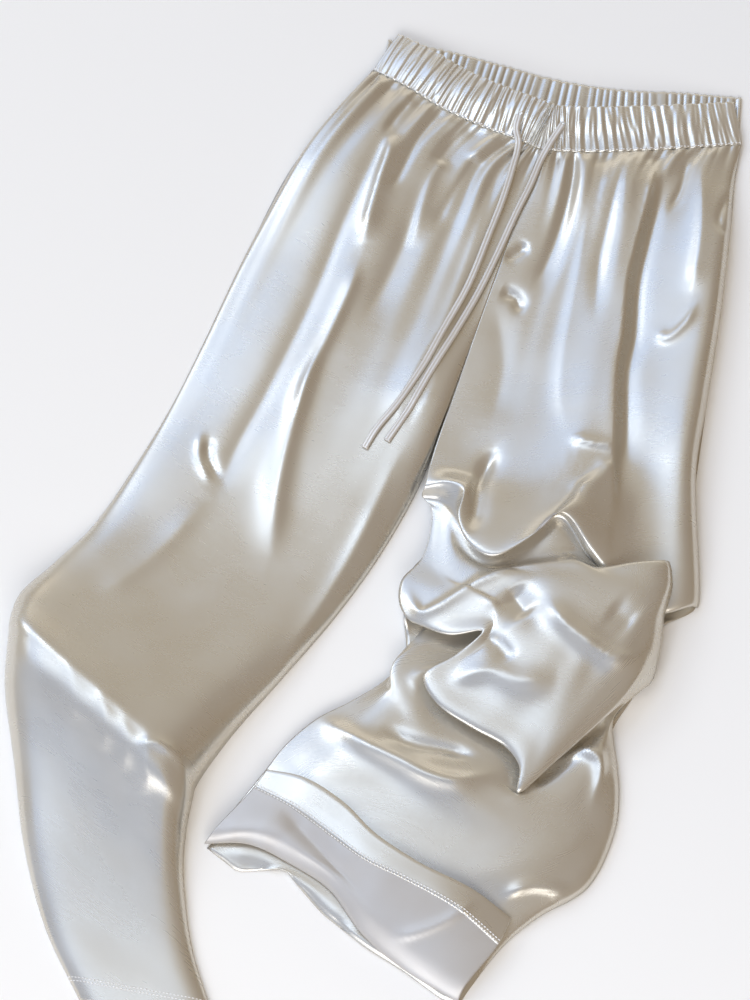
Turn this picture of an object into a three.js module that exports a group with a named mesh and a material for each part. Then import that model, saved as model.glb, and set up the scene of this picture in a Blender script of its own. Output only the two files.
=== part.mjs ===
import * as THREE from "three";

// Wide-leg pull-on satin trousers, lying face up on a flat surface, in millimetres.
// +X runs to the wearer's left, +Y to the waist and +Z up. The right leg lies straight,
// over a raised fold at the knee. The left leg is pushed up into folds that overhang one
// another, and its end is turned back so that the wrong side of the hem shows.

// Cloth and seams
const PANEL_WALL = 1.5;
const BACK_WALL = 1.6;
const SEAM_GAP = 0.3;

// Hidden layers of each leg: how far under the cloth above they stay, how far around a point
// that is looked for, and the bulges of their rim
const LAYER_CLEARANCE = 1.8;
const LAYER_REACH = 22;
const RIM_LAYERS = 2;
const RIM_BULGE = 1.2;
const RIM_FULL_HEIGHT = 10;

// The left leg's hidden layers are full below the first of these places along the trousers and
// flat above the second; above the first they start from the centre seam
const LAYERS_FULL_BELOW = 60;
const LAYERS_FLAT_ABOVE = 220;
const LAYERS_HIGHEST = 60;
const BESIDE_SEAM_FROM = 2;
const BESIDE_SEAM_TO = 30;

// Elastic waistband casing
const BAND_WALL = 3;
const BAND_HEIGHT = 43;
const BAND_PUFF = 2.4;
const BAND_MOUTH_RISE = 5;
const BAND_END_FLATNESS = 0.3;
const BAND_LEVELS = [1, 0.78, 0.18, 0];
const PUFF_START = 0.04;
const PUFF_END = 0.96;
const WAIST_DROP = 0.8;
const GATHERS_ACROSS = 45;
const GATHER_DEPTH = 1.1;
const GATHER_SAMPLES = 3;
const BACK_BAND_FACE = 2.3;
const BACK_BAND_LEVELS = [0, 0.5, 1];
const BACK_BAND_SAMPLES = 2;
const BACK_GATHER_DEPTH = 0.6;

// Soft folds that fan out from the casing into each front panel
const FAN_FOLDS = 7;
const FAN_DEPTH = 3;
const FAN_LENGTH = 70;

// Drawstring ties, flat tubes of the same satin
const TIE_WIDTH = 6;
const TIE_THICKNESS = 3.6;
const TIE_SIDES = 8;
const TIE_STEP = 15;

// Grid of each panel, and how much finer a front is when the layers under it are fitted
const FRONT_COLUMNS = 26;
const BACK_COLUMNS = 13;
const COVER_FINENESS = 3;
const COLUMN_BUNCHING = 0.45;
const EDGE_ROUNDNESS = 5;
const EDGE_HEIGHT = 3.2;

// The centre seam's pull on a front panel: how fast it fades across, and down below the crotch
const SEAM_PULL_FADE = 4;
const SEAM_PULL_SECTIONS = 1.5;
const SEAM_SLANT = Math.PI / 9;

// Height of the outer face along the waist seam, from the right side to the left side
const WAIST_SEAM = [
  [-1, 415, 6.6],
  [28, 397, 9.5],
  [59, 374, 12.5],
  [95, 354, 14.5],
  [132, 338, 15],
  [147, 331, 15],
  [180, 328, 15],
  [232, 330, 13.5],
  [287, 335, 10],
  [326, 340, 6.6],
];
const CENTRE_AT = 5 / 9;
const CENTRE_LINE_SAMPLES = 60;
const BACK_SEAM_SHARE = 0.6;

// Top edge of the back of the casing, which shows above the front one
const BACK_BAND_TOP = [
  [12, 447],
  [65, 436],
  [115, 421],
  [168, 405],
  [222, 396],
  [276, 393],
  [328, 388],
];

// Centre front seam, from the casing to the crotch
const CENTRE_FRONT = [
  [147, 331, 14.2],
  [136, 298, 14],
  [118, 243, 14],
  [92, 165, 14],
  [64, 82, 14],
];

// Right leg: sections from the side seam (outer) to the centre seam or inseam (inner); lower is
// how far the outer side lies below the middle
const RIGHT_SECTIONS = [
  { name: "high hip", outer: [-32, 378], inner: [136, 298], bow: -4, height: 15, lower: 0, steps: 2 },
  { name: "hip", outer: [-64, 334], inner: [118, 243], bow: 0, height: 16, lower: 1, steps: 2 },
  { name: "seat", outer: [-112, 236], inner: [92, 165], bow: 0, height: 15, lower: 9, steps: 2 },
  { name: "crotch", outer: [-152, 140], inner: [64, 82], bow: 0, height: 14, lower: 9, steps: 2 },
  { name: "upper thigh", outer: [-177, 84], inner: [38, 12], bow: 0, height: 14, lower: 9, steps: 2 },
  { name: "thigh", outer: [-205, 32], inner: [4, -52], bow: 0, height: 13, lower: 4, steps: 2 },
  { name: "low thigh", outer: [-240, -24], inner: [-34, -108], bow: 0, height: 14, lower: 0, steps: 1 },
  { name: "above knee", outer: [-275, -62], inner: [-76, -160], bow: 0, height: 20, lower: 0, steps: 2 },
  { name: "knee rise", outer: [-301, -90], inner: [-122, -216], bow: 0, height: 35, lower: 0, steps: 2 },
  { name: "knee ridge", outer: [-308, -116], inner: [-149, -258], bow: 4, height: 47, lower: 0, steps: 2 },
  { name: "below knee", outer: [-310, -166], inner: [-155, -292], bow: 0, height: 38, lower: 0, steps: 2 },
  { name: "shin", outer: [-299, -238], inner: [-157, -322], bow: 0, height: 27, lower: 0, steps: 2 },
  { name: "calf", outer: [-288, -310], inner: [-155, -352], bow: 0, height: 19, lower: 0, steps: 2 },
  { name: "ankle", outer: [-268, -378], inner: [-148, -396], bow: 0, height: 13, lower: 0, steps: 2 },
  { name: "hem", outer: [-238, -438], inner: [-126, -462], bow: 0, height: 10, lower: 0, steps: 0 },
];
const LOWER_SIDE_SHARE = 0.5;
const LOWER_SIDE_CURVE = 1.3;

// Left leg: sections through the folds, each a few stations [x, y, z] from the inner edge
// to the outer edge. edge is the height at which the outer edge finishes.
const LEFT_SECTIONS = [
  { name: "high hip", steps: 2, edge: EDGE_HEIGHT, stations: [
    [136, 298, 14], [190, 297, 18], [250, 299, 15], [319, 302, 13]] },
  { name: "hip", steps: 2, edge: EDGE_HEIGHT, stations: [
    [118, 243, 14], [180, 240, 18], [240, 242, 11], [312, 244, 18]] },
  { name: "seat", steps: 2, edge: EDGE_HEIGHT, stations: [
    [92, 165, 14], [156, 160, 20], [226, 160, 12], [301, 168, 19]] },
  { name: "crotch", steps: 2, edge: EDGE_HEIGHT, stations: [
    [64, 82, 14], [120, 74, 24], [174, 70, 27], [222, 76, 14], [286, 84, 19]] },
  { name: "upper thigh", steps: 2, edge: EDGE_HEIGHT, stations: [
    [48, 30, 17], [104, 12, 29], [160, 8, 35], [218, 24, 14], [275, 22, 18]] },
  { name: "first lip", steps: 1, edge: EDGE_HEIGHT, stations: [
    [42, 4, 20], [60, 5, 28], [74, -2, 32], [69, -30, 35], [78, -54, 37], [98, -67, 39],
    [128, -52, 42], [157, -30, 46], [180, -58, 36], [206, -86, 20], [236, -108, 10],
    [272, -99, 6]] },
  { name: "under first lip", steps: 1, edge: 4, stations: [
    [40, -1, 11], [56, -6, 14], [66, -18, 18], [76, -34, 20], [86, -50, 22], [102, -56, 24],
    [126, -42, 26], [156, -24, 30], [178, -58, 22], [204, -84, 11], [234, -104, 5],
    [266, -94, 4]] },
  { name: "between the folds", steps: 1, edge: 4, stations: [
    [44, -6, 11], [56, -13, 14], [64, -24, 17], [73, -41, 19], [85, -57, 21], [103, -63, 24],
    [128, -53, 26], [157, -40, 29], [179, -60, 24], [204, -78, 14], [222, -88, 6],
    [236, -82, 4]] },
  { name: "second fold top", steps: 1, edge: 26, stations: [
    [48, -11, 11], [56, -20, 14], [63, -30, 17], [70, -48, 19], [84, -64, 21], [104, -70, 24],
    [130, -64, 27], [158, -60, 29], [184, -72, 31], [216, -69, 34], [247, -66, 34]] },
  { name: "second fold", steps: 1, edge: 20, stations: [
    [40, -58, 15], [66, -80, 24], [110, -84, 32], [160, -88, 38], [208, -92, 40], [250, -86, 36]] },
  { name: "second fold middle", steps: 1, edge: 14, stations: [
    [22, -80, 17], [62, -98, 27], [92, -102, 33], [108, -112, 35], [120, -122, 37],
    [132, -132, 38], [146, -142, 39], [160, -150, 39], [172, -156, 39], [182, -160, 38],
    [200, -156, 38], [220, -140, 37], [243, -112, 35]] },
  { name: "second fold low", steps: 3, edge: 12, stations: [
    [21, -104, 19], [60, -117, 28], [98, -122, 33], [88, -144, 32], [70, -162, 31],
    [78, -180, 31], [100, -196, 32], [120, -208, 32], [134, -222, 32], [140, -236, 31],
    [170, -214, 31], [206, -186, 31], [239, -138, 32]] },
  { name: "second lip", steps: 1, edge: 12, stations: [
    [32, -119, 20], [62, -133, 28], [89, -131, 33], [66, -151, 30], [39, -168, 28], [50, -193, 28],
    [80, -215, 28], [107, -231, 28], [118, -248, 28], [116, -270, 25], [150, -241, 24],
    [192, -202, 23], [231, -168, 20]] },
  { name: "under second lip", steps: 1, edge: 6, stations: [
    [44, -110, 10], [72, -116, 14], [98, -122, 16], [92, -146, 15], [64, -166, 14], [68, -184, 14],
    [92, -202, 14], [116, -220, 14], [130, -238, 13], [132, -254, 13], [150, -230, 12],
    [184, -202, 11], [220, -176, 9]] },
  { name: "shin top", steps: 1, edge: 5, stations: [
    [36, -126, 9], [22, -142, 12], [16, -152, 15], [22, -168, 17], [34, -184, 18], [50, -202, 18],
    [76, -224, 19], [104, -243, 20], [118, -266, 20], [136, -262, 20], [160, -246, 19],
    [186, -224, 17], [199, -198, 10]] },
  { name: "shin", steps: 1, edge: 4, stations: [
    [12, -162, 8], [10, -180, 15], [24, -206, 19], [54, -232, 22], [88, -256, 24], [128, -272, 22],
    [168, -262, 20], [201, -240, 14]] },
  { name: "shin ridge", steps: 1, edge: 4, stations: [
    [-20, -184, 8], [-12, -212, 18], [22, -240, 24], [64, -262, 26], [110, -282, 23],
    [158, -282, 20], [202, -262, 14]] },
  { name: "calf", steps: 1, edge: 4, stations: [
    [-48, -199, 8], [-30, -232, 18], [18, -268, 22], [70, -296, 22], [120, -306, 21],
    [162, -308, 18], [197, -297, 12]] },
  { name: "low calf", steps: 1, edge: 4, stations: [
    [-74, -222, 8], [-48, -256, 17], [0, -295, 19], [62, -330, 19], [114, -340, 18],
    [174, -343, 11]] },
  { name: "ankle", steps: 1, edge: 4, stations: [
    [-92, -246, 8], [-50, -282, 15], [0, -322, 16], [56, -352, 15], [100, -366, 13],
    [133, -368, 9]] },
  { name: "under the turn-back", steps: 1, edge: 4, stations: [
    [-108, -266, 6], [-70, -292, 9], [-20, -332, 10], [30, -368, 10], [74, -396, 9], [104, -392, 6]] },
  { name: "turn", steps: 1, edge: 4, stations: [
    [-140, -306, 5], [-104, -307, 8], [-70, -323, 8], [-38, -345, 8], [-10, -384, 8],
    [24, -413, 7], [67, -439, 5]] },
  { name: "turned up", steps: 2, edge: 10, stations: [
    [-134, -299, 11], [-100, -301, 16], [-66, -316, 17], [-34, -337, 18], [-4, -372, 18],
    [30, -401, 16], [72, -428, 11]] },
  { name: "hem stitching", steps: 1, edge: 13, stations: [
    [-100, -261, 13], [-68, -281, 20], [-36, -306, 23], [-8, -327, 25], [24, -343, 25],
    [66, -367, 23], [99, -394, 14]] },
  { name: "hem edge", steps: 0, edge: 13, stations: [
    [-89, -246, 14], [-58, -255, 20], [-26, -277, 24], [0, -304, 26], [36, -329, 26],
    [78, -350, 23], [110, -372, 14]] },
];

// Left leg, hidden layers: outline from the inner to the outer edge, down to the jagged end
const LEFT_BACK_SECTIONS = [
  { inner: [118, 243], outer: [312, 244], steps: 3 },
  { inner: [92, 165], outer: [301, 168], steps: 3 },
  { inner: [65.5, 82], outer: [286, 84], steps: 3 },
  { inner: [48, 4], outer: [269, -20], steps: 1 },
  { inner: [60, -34], outer: [262, -66], steps: 2 },
  { inner: [30, -70], outer: [271, -98], steps: 2 },
  { inner: [24, -104], outer: [240, -118], steps: 1 },
  { inner: [26, -136], outer: [232, -146], steps: 1 },
  { inner: [20, -160], outer: [217, -176], steps: 1 },
  { inner: [-10, -178], outer: [196, -212], steps: 2 },
  { inner: [-44, -202], outer: [196, -262], steps: 1 },
  { inner: [-73, -227], outer: [188, -294], steps: 1 },
  { inner: [-93, -256], outer: [160, -340], steps: 1 },
  { inner: [-106, -272], outer: [116, -362], steps: 1 },
  { inner: [-122, -292], outer: [92, -402], steps: 1 },
  { inner: [-138, -309], outer: [68, -440], steps: 0 },
];

// Largest folds in the front panels: a ridge (positive) or trough (negative) from start to
// end through a middle point, so wide to the left and to the right of that way down, on the
// sections numbered from and to
const RIGHT_FOLDS = [
  { start: [14, 345], middle: [-2, 262], end: [-62, 96], height: 5, left: 13, right: 13, from: 0, to: 7 },
  { start: [-50, 130], middle: [-78, 40], end: [-92, -70], height: 4, left: 16, right: 16, from: 3, to: 9 },
  { start: [34, 340], middle: [22, 280], end: [-4, 200], height: -4, left: 14, right: 14, from: 0, to: 6 },
  { start: [100, 300], middle: [70, 200], end: [20, 60], height: 3, left: 18, right: 18, from: 0, to: 7 },
  { start: [-302, -106], middle: [-226, -200], end: [-158, -262], height: 5, left: 11, right: 11,
    from: 8, to: 12 },
];
const LEFT_FOLDS = [
  { start: [246, 322], middle: [220, 190], end: [199, 20], height: 9, left: 7, right: 30, from: 0, to: 6 },
  { start: [216, 160], middle: [205, 90], end: [198, 14], height: 6, left: 7, right: 30, from: 2, to: 6 },
  { start: [196, 312], middle: [170, 175], end: [164, 60], height: 3, left: 12, right: 8, from: 0, to: 6 },
  { start: [130, 230], middle: [118, 196], end: [104, 150], height: -4, left: 12, right: 12, from: 1, to: 5 },
  { start: [103, 39], middle: [88, -5], end: [81, -44], height: -4, left: 9, right: 9, from: 3, to: 6 },
  { start: [145, -106], middle: [182, -147], end: [228, -152], height: 5, left: 10, right: 10,
    from: 9, to: 12 },
  { start: [-46, -198], middle: [20, -241], end: [100, -252], height: 5, left: 9, right: 9, from: 15, to: 18 },
];
const FOLD_SAMPLES = 16;
const FOLD_END_SHARE = 0.12;

// Ties: each route, chosen to lie on the cloth, from the buttonhole in the casing to the end
const RIGHT_TIE_ROUTE = [
  [128, 360, 21.2], [125, 347, 20.2], [127, 334, 18.2], [120, 304, 18.2], [112, 277, 18.5],
  [100, 244, 18.8], [81, 194, 18.8], [59, 151, 20.4], [44, 121, 22], [34, 104, 22.4],
  [19, 81, 21.8], [1, 58, 19.9], [-9, 41, 18.1],
];
const LEFT_TIE_ROUTE = [
  [166, 350, 22.4], [158, 338, 20.6], [147, 318, 18.4], [137, 293, 18.2], [124, 265, 17.8],
  [106, 223, 17.2], [89, 186, 17.6], [70, 150, 20], [54, 122, 22.2], [44, 104, 22.6],
  [35, 87, 22.4], [29, 76, 21.6], [20, 62, 20.7], [10, 47, 19.3],
];

const satin = new THREE.MeshStandardMaterial({ color: 0xd9d0c3, roughness: 0.32, metalness: 0 });
const casingSatin = new THREE.MeshStandardMaterial({ color: 0xddd6ca, roughness: 0.36, metalness: 0 });
const wrongSide = new THREE.MeshStandardMaterial({ color: 0xd6d6da, roughness: 0.6, metalness: 0 });
const tieSatin = new THREE.MeshStandardMaterial({ color: 0xcfc6b8, roughness: 0.35, metalness: 0 });

function splineThrough(points) {
  const knots = points.map(([x, y, z = 0]) => new THREE.Vector3(x, y, z));
  return new THREE.CatmullRomCurve3(knots, false, "centripetal");
}

function smoothstep(low, high, value) {
  return THREE.MathUtils.smoothstep(value, low, high);
}

// Columns lie closer together near both edges, where the cloth rounds over
function columnPlaces(columns) {
  const places = [];
  for (let column = 0; column <= columns; column += 1) {
    const even = column / columns;
    const bunched = 0.5 - 0.5 * Math.cos(Math.PI * even);
    places.push(THREE.MathUtils.lerp(even, bunched, COLUMN_BUNCHING));
  }
  return places;
}

// Rows of points down the panel: sections[i](across) is a point, steps[i] the rows to the next
function sampleSections(sections, steps, places) {
  const columns = places.map((across) => new THREE.CatmullRomCurve3(
    sections.map((section) => section(across)), false, "centripetal"));
  const rows = [];
  const last = sections.length - 1;
  for (let index = 0; index < sections.length; index += 1) {
    const count = index === last ? 1 : steps[index];
    for (let step = 0; step < count; step += 1) {
      const down = index + step / count;
      rows.push({ down, points: columns.map((spline) => spline.getPoint(down / last)) });
    }
  }
  return rows;
}

// 0 to 1, highest in the middle of the panel and rounding off to 0 at an edge
function edgeRounding(across) {
  const offset = Math.abs(2 * across - 1);
  return Math.sqrt(1 - offset ** EDGE_ROUNDNESS);
}

function foldHeight(fold, x, y, down) {
  if (down < fold.from || down > fold.to) {
    return 0;
  }
  const line = new THREE.QuadraticBezierCurve(
    new THREE.Vector2(...fold.start),
    new THREE.Vector2(
      2 * fold.middle[0] - (fold.start[0] + fold.end[0]) / 2,
      2 * fold.middle[1] - (fold.start[1] + fold.end[1]) / 2),
    new THREE.Vector2(...fold.end));
  const here = new THREE.Vector2(x, y);
  let nearest = Infinity;
  let along = 0;
  for (let sample = 0; sample <= FOLD_SAMPLES; sample += 1) {
    const distance = line.getPoint(sample / FOLD_SAMPLES).distanceTo(here);
    if (distance < nearest) {
      nearest = distance;
      along = sample / FOLD_SAMPLES;
    }
  }
  const offset = here.sub(line.getPoint(along));
  const width = line.getTangent(along).cross(offset) > 0 ? fold.left : fold.right;
  const taper = Math.sin(Math.PI * THREE.MathUtils.lerp(FOLD_END_SHARE, 1 - FOLD_END_SHARE, along));
  return fold.height * taper * Math.exp(-((nearest / width) ** 2));
}

// A wall between an outer grid of points and the same grid moved in along its normals
function wallBetween(outer, inner) {
  const rows = outer.length;
  const columns = outer[0].length;
  const positions = [];
  const pushPoint = (point) => positions.push(point.x, point.y, point.z);
  outer.forEach((row) => row.forEach(pushPoint));
  inner.forEach((row) => row.forEach(pushPoint));
  const outerAt = (row, column) => row * columns + column;
  const innerAt = (row, column) => rows * columns + row * columns + column;
  const faces = [];
  const quad = (a, b, c, d) => faces.push(a, b, c, a, c, d);
  for (let row = 0; row < rows - 1; row += 1) {
    for (let column = 0; column < columns - 1; column += 1) {
      quad(outerAt(row, column), outerAt(row + 1, column),
        outerAt(row + 1, column + 1), outerAt(row, column + 1));
      quad(innerAt(row, column), innerAt(row, column + 1),
        innerAt(row + 1, column + 1), innerAt(row + 1, column));
    }
  }
  for (let row = 0; row < rows - 1; row += 1) {
    quad(outerAt(row, 0), innerAt(row, 0), innerAt(row + 1, 0), outerAt(row + 1, 0));
    quad(outerAt(row + 1, columns - 1), innerAt(row + 1, columns - 1),
      innerAt(row, columns - 1), outerAt(row, columns - 1));
  }
  for (let column = 0; column < columns - 1; column += 1) {
    quad(outerAt(0, column + 1), innerAt(0, column + 1), innerAt(0, column), outerAt(0, column));
    quad(outerAt(rows - 1, column), innerAt(rows - 1, column),
      innerAt(rows - 1, column + 1), outerAt(rows - 1, column + 1));
  }
  const geometry = new THREE.BufferGeometry();
  geometry.setAttribute("position", new THREE.Float32BufferAttribute(positions, 3));
  geometry.setIndex(faces);
  geometry.computeVertexNormals();
  return geometry;
}

function insetAlongNormals(grid, wall) {
  const rows = grid.length;
  const columns = grid[0].length;
  return grid.map((row, rowIndex) => row.map((point, column) => {
    const before = row[Math.max(column - 1, 0)];
    const after = row[Math.min(column + 1, columns - 1)];
    const above = grid[Math.max(rowIndex - 1, 0)][column];
    const below = grid[Math.min(rowIndex + 1, rows - 1)][column];
    const acrossPanel = after.clone().sub(before);
    const downPanel = below.clone().sub(above);
    const normal = downPanel.cross(acrossPanel).normalize();
    return point.clone().addScaledVector(normal, -wall);
  }));
}

const waistSeam = splineThrough(WAIST_SEAM);
const centreFront = splineThrough(CENTRE_FRONT);

// The panels hang from just inside the casing's lower edge
function waistPoint(along) {
  const point = waistSeam.getPoint(along);
  point.z -= WAIST_DROP;
  return point;
}

function fanFolds(along, distance) {
  const uneven = along + 0.02 * Math.sin(11 * along) + 0.012 * Math.sin(29 * along);
  const wave = Math.cos(2 * Math.PI * FAN_FOLDS * 2 * uneven);
  return FAN_DEPTH * wave * Math.exp(-distance / FAN_LENGTH) * smoothstep(0, 12, distance);
}

// Keeps both front panels half a seam gap from the centre front line above the crotch; the
// shift fades out below it
function meetCentreFront(rows, places, seamColumn, side) {
  const crotch = CENTRE_FRONT.length - 1;
  const halfGap = SEAM_GAP / 2 / Math.cos(SEAM_SLANT);
  let shift = new THREE.Vector3();
  rows.forEach((row) => {
    if (row.down <= crotch) {
      const target = centreFront.getPoint(row.down / crotch);
      target.x += side * halfGap;
      shift = target.sub(row.points[seamColumn]);
    }
    const fade = 1 - smoothstep(crotch, crotch + SEAM_PULL_SECTIONS, row.down);
    row.points.forEach((point, column) => {
      const nearness = 1 - Math.abs(places[column] - places[seamColumn]);
      point.addScaledVector(shift, fade * nearness ** SEAM_PULL_FADE);
    });
  });
}

function rightFrontRows(fineness) {
  const places = columnPlaces(FRONT_COLUMNS * fineness);
  const sections = [(across) => waistPoint(across * CENTRE_AT)];
  RIGHT_SECTIONS.forEach((section, index) => {
    sections.push((across) => {
      const [outerX, outerY] = section.outer;
      const [innerX, innerY] = section.inner;
      const belowCrotch = index >= CENTRE_FRONT.length - 2;
      const innerSide = across > 0.5 && !belowCrotch;
      const rounding = innerSide ? 1 : edgeRounding(across);
      const outerShare = Math.max(1 - across / LOWER_SIDE_SHARE, 0);
      const height = section.height - section.lower * outerShare ** LOWER_SIDE_CURVE;
      return new THREE.Vector3(
        THREE.MathUtils.lerp(outerX, innerX, across),
        THREE.MathUtils.lerp(outerY, innerY, across) + section.bow * Math.sin(Math.PI * across),
        EDGE_HEIGHT + (height - EDGE_HEIGHT) * rounding);
    });
  });
  const steps = [2, ...RIGHT_SECTIONS.map((section) => section.steps)];
  const rows = sampleSections(sections, steps.map((count) => count * fineness), places);
  meetCentreFront(rows, places, places.length - 1, -1);
  raiseFolds(rows, places, RIGHT_FOLDS, 0, CENTRE_AT);
  return rows;
}

function leftFrontRows(fineness) {
  const places = columnPlaces(FRONT_COLUMNS * fineness);
  const sections = [(across) => waistPoint(CENTRE_AT + across * (1 - CENTRE_AT))];
  LEFT_SECTIONS.forEach((section) => {
    const line = splineThrough(section.stations);
    sections.push((across) => {
      const point = line.getPoint(across);
      const rounding = across > 0.5 ? edgeRounding(across) : 1;
      point.z = section.edge + (point.z - section.edge) * rounding;
      return point;
    });
  });
  const steps = [2, ...LEFT_SECTIONS.map((section) => section.steps)];
  const rows = sampleSections(sections, steps.map((count) => count * fineness), places);
  meetCentreFront(rows, places, 0, 1);
  raiseFolds(rows, places, LEFT_FOLDS, CENTRE_AT, 1);
  return rows;
}

// Adds the large folds, and the fan below the casing between two places along the waist
function raiseFolds(rows, places, folds, waistStart, waistEnd) {
  const top = rows[0].points.map((point) => point.clone());
  rows.forEach((row) => {
    row.points.forEach((point, column) => {
      const across = places[column];
      const atEdge = edgeRounding(across);
      const along = THREE.MathUtils.lerp(waistStart, waistEnd, across);
      const distance = point.distanceTo(top[column]);
      const relief = folds.reduce((sum, fold) => {
        return sum + foldHeight(fold, point.x, point.y, row.down);
      }, 0);
      point.z += (relief * smoothstep(0, 20, distance) + fanFolds(along, distance)) * atEdge;
    });
  });
}

function insideOf(rows) {
  const inner = insetAlongNormals(rows.map((row) => row.points), PANEL_WALL);
  inner.flat().forEach((point) => {
    point.z = Math.max(point.z, BACK_WALL + SEAM_GAP);
  });
  return inner;
}

function panelWall(rows) {
  return wallBetween(rows.map((row) => row.points), insideOf(rows));
}

// How far across the centre seam lies at a place along the trousers; the back's seam goes on
// straight from the front's
function centreLineAt(y) {
  const line = centreFront.getPoints(CENTRE_LINE_SAMPLES);
  const next = Math.max(line.findIndex((point) => point.y < y), 1);
  const [above, below] = [line[next - 1], line[next]];
  return THREE.MathUtils.mapLinear(y, above.y, below.y, above.x, below.x);
}

// A solid on the floor: its outline follows the sections, its top stays under the cloth above,
// and its rim bulges in and out as stacked layers do
function layeredBack(sections, steps, cover, highest, side) {
  const places = columnPlaces(BACK_COLUMNS);
  const rows = sampleSections(sections, steps, places);
  rows.forEach((row) => {
    const seamPoint = side < 0 ? row.points[BACK_COLUMNS] : row.points[0];
    if (seamPoint.y > CENTRE_FRONT[CENTRE_FRONT.length - 1][1]) {
      seamPoint.x = centreLineAt(seamPoint.y) + side * SEAM_GAP * BACK_SEAM_SHARE;
    }
  });
  const coverPoints = insideOf(cover).flat();
  const top = rows.map((row) => row.points.map((point) => {
    let lowest = Infinity;
    coverPoints.forEach((above) => {
      const near = Math.hypot(above.x - point.x, above.y - point.y) < LAYER_REACH;
      lowest = near ? Math.min(lowest, above.z) : lowest;
    });
    const covered = Number.isFinite(lowest);
    const limit = covered ? Math.min(lowest - LAYER_CLEARANCE, highest(point)) : 0;
    return new THREE.Vector3(point.x, point.y, Math.max(limit, BACK_WALL));
  }));
  return stackedLayers(top);
}

// Closes a raised grid down to the floor, with a rim that bulges once for every layer
function stackedLayers(top) {
  const lastRow = top.length - 1;
  const lastColumn = top[0].length - 1;
  const loop = [];
  for (let column = 0; column < lastColumn; column += 1) {
    loop.push(top[0][column]);
  }
  for (let row = 0; row < lastRow; row += 1) {
    loop.push(top[row][lastColumn]);
  }
  for (let column = lastColumn; column > 0; column -= 1) {
    loop.push(top[lastRow][column]);
  }
  for (let row = lastRow; row > 0; row -= 1) {
    loop.push(top[row][0]);
  }
  const levels = 2 * RIM_LAYERS;
  const positions = [];
  const addPoint = (x, y, z) => {
    positions.push(x, y, z);
    return positions.length / 3 - 1;
  };
  const topIds = top.map((row) => row.map((point) => addPoint(point.x, point.y, point.z)));
  const floorIds = top.map((row) => row.map((point) => addPoint(point.x, point.y, 0)));
  const idOfPoint = new Map();
  top.forEach((row, rowIndex) => row.forEach((point, column) => {
    idOfPoint.set(point, [topIds[rowIndex][column], floorIds[rowIndex][column]]);
  }));
  const rings = [loop.map((point) => idOfPoint.get(point)[0])];
  for (let level = 1; level < levels; level += 1) {
    rings.push(loop.map((point, index) => {
      const before = loop[(index + loop.length - 1) % loop.length];
      const after = loop[(index + 1) % loop.length];
      const outward = new THREE.Vector3(before.y - after.y, after.x - before.x, 0).normalize();
      const bulge = level % 2 ? RIM_BULGE * smoothstep(2 * BACK_WALL, RIM_FULL_HEIGHT, point.z) : 0;
      return addPoint(point.x + outward.x * bulge, point.y + outward.y * bulge,
        point.z * (1 - level / levels));
    }));
  }
  rings.push(loop.map((point) => idOfPoint.get(point)[1]));
  const faces = [];
  const quad = (a, b, c, d) => faces.push(a, b, c, a, c, d);
  for (let row = 0; row < lastRow; row += 1) {
    for (let column = 0; column < lastColumn; column += 1) {
      quad(topIds[row][column], topIds[row + 1][column],
        topIds[row + 1][column + 1], topIds[row][column + 1]);
      quad(floorIds[row][column], floorIds[row][column + 1],
        floorIds[row + 1][column + 1], floorIds[row + 1][column]);
    }
  }
  for (let level = 0; level < levels; level += 1) {
    for (let index = 0; index < loop.length; index += 1) {
      const next = (index + 1) % loop.length;
      quad(rings[level][index], rings[level][next],
        rings[level + 1][next], rings[level + 1][index]);
    }
  }
  const geometry = new THREE.BufferGeometry();
  geometry.setAttribute("position", new THREE.Float32BufferAttribute(positions, 3));
  geometry.setIndex(faces);
  geometry.computeVertexNormals();
  return geometry;
}

const backBandTop = splineThrough(BACK_BAND_TOP);

// Left normal of a waist line in plan, which points towards the waist
function towardsWaist(curve, along) {
  const tangent = curve.getTangent(along);
  return new THREE.Vector3(-tangent.y, tangent.x, 0).normalize();
}

function backSeamPoint(along) {
  const point = backBandTop.getPoint(along);
  point.addScaledVector(towardsWaist(backBandTop, along), -BAND_HEIGHT - SEAM_GAP);
  return point;
}

function rightBack() {
  const halfGap = SEAM_GAP / 2;
  const sections = [
    (across) => backSeamPoint(across * 0.5),
    ...RIGHT_SECTIONS.slice(1).map((section) => (across) => new THREE.Vector3(
      THREE.MathUtils.lerp(section.outer[0], section.inner[0] - halfGap, across),
      THREE.MathUtils.lerp(section.outer[1], section.inner[1], across), 0)),
  ];
  const steps = [3, 3, 3, ...RIGHT_SECTIONS.slice(3).map((section) => Math.min(section.steps, 1))];
  const highest = (point) => (point.y > 0 ? BACK_WALL : Infinity);
  return layeredBack(sections, steps, rightFrontRows(COVER_FINENESS), highest, -1);
}

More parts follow.
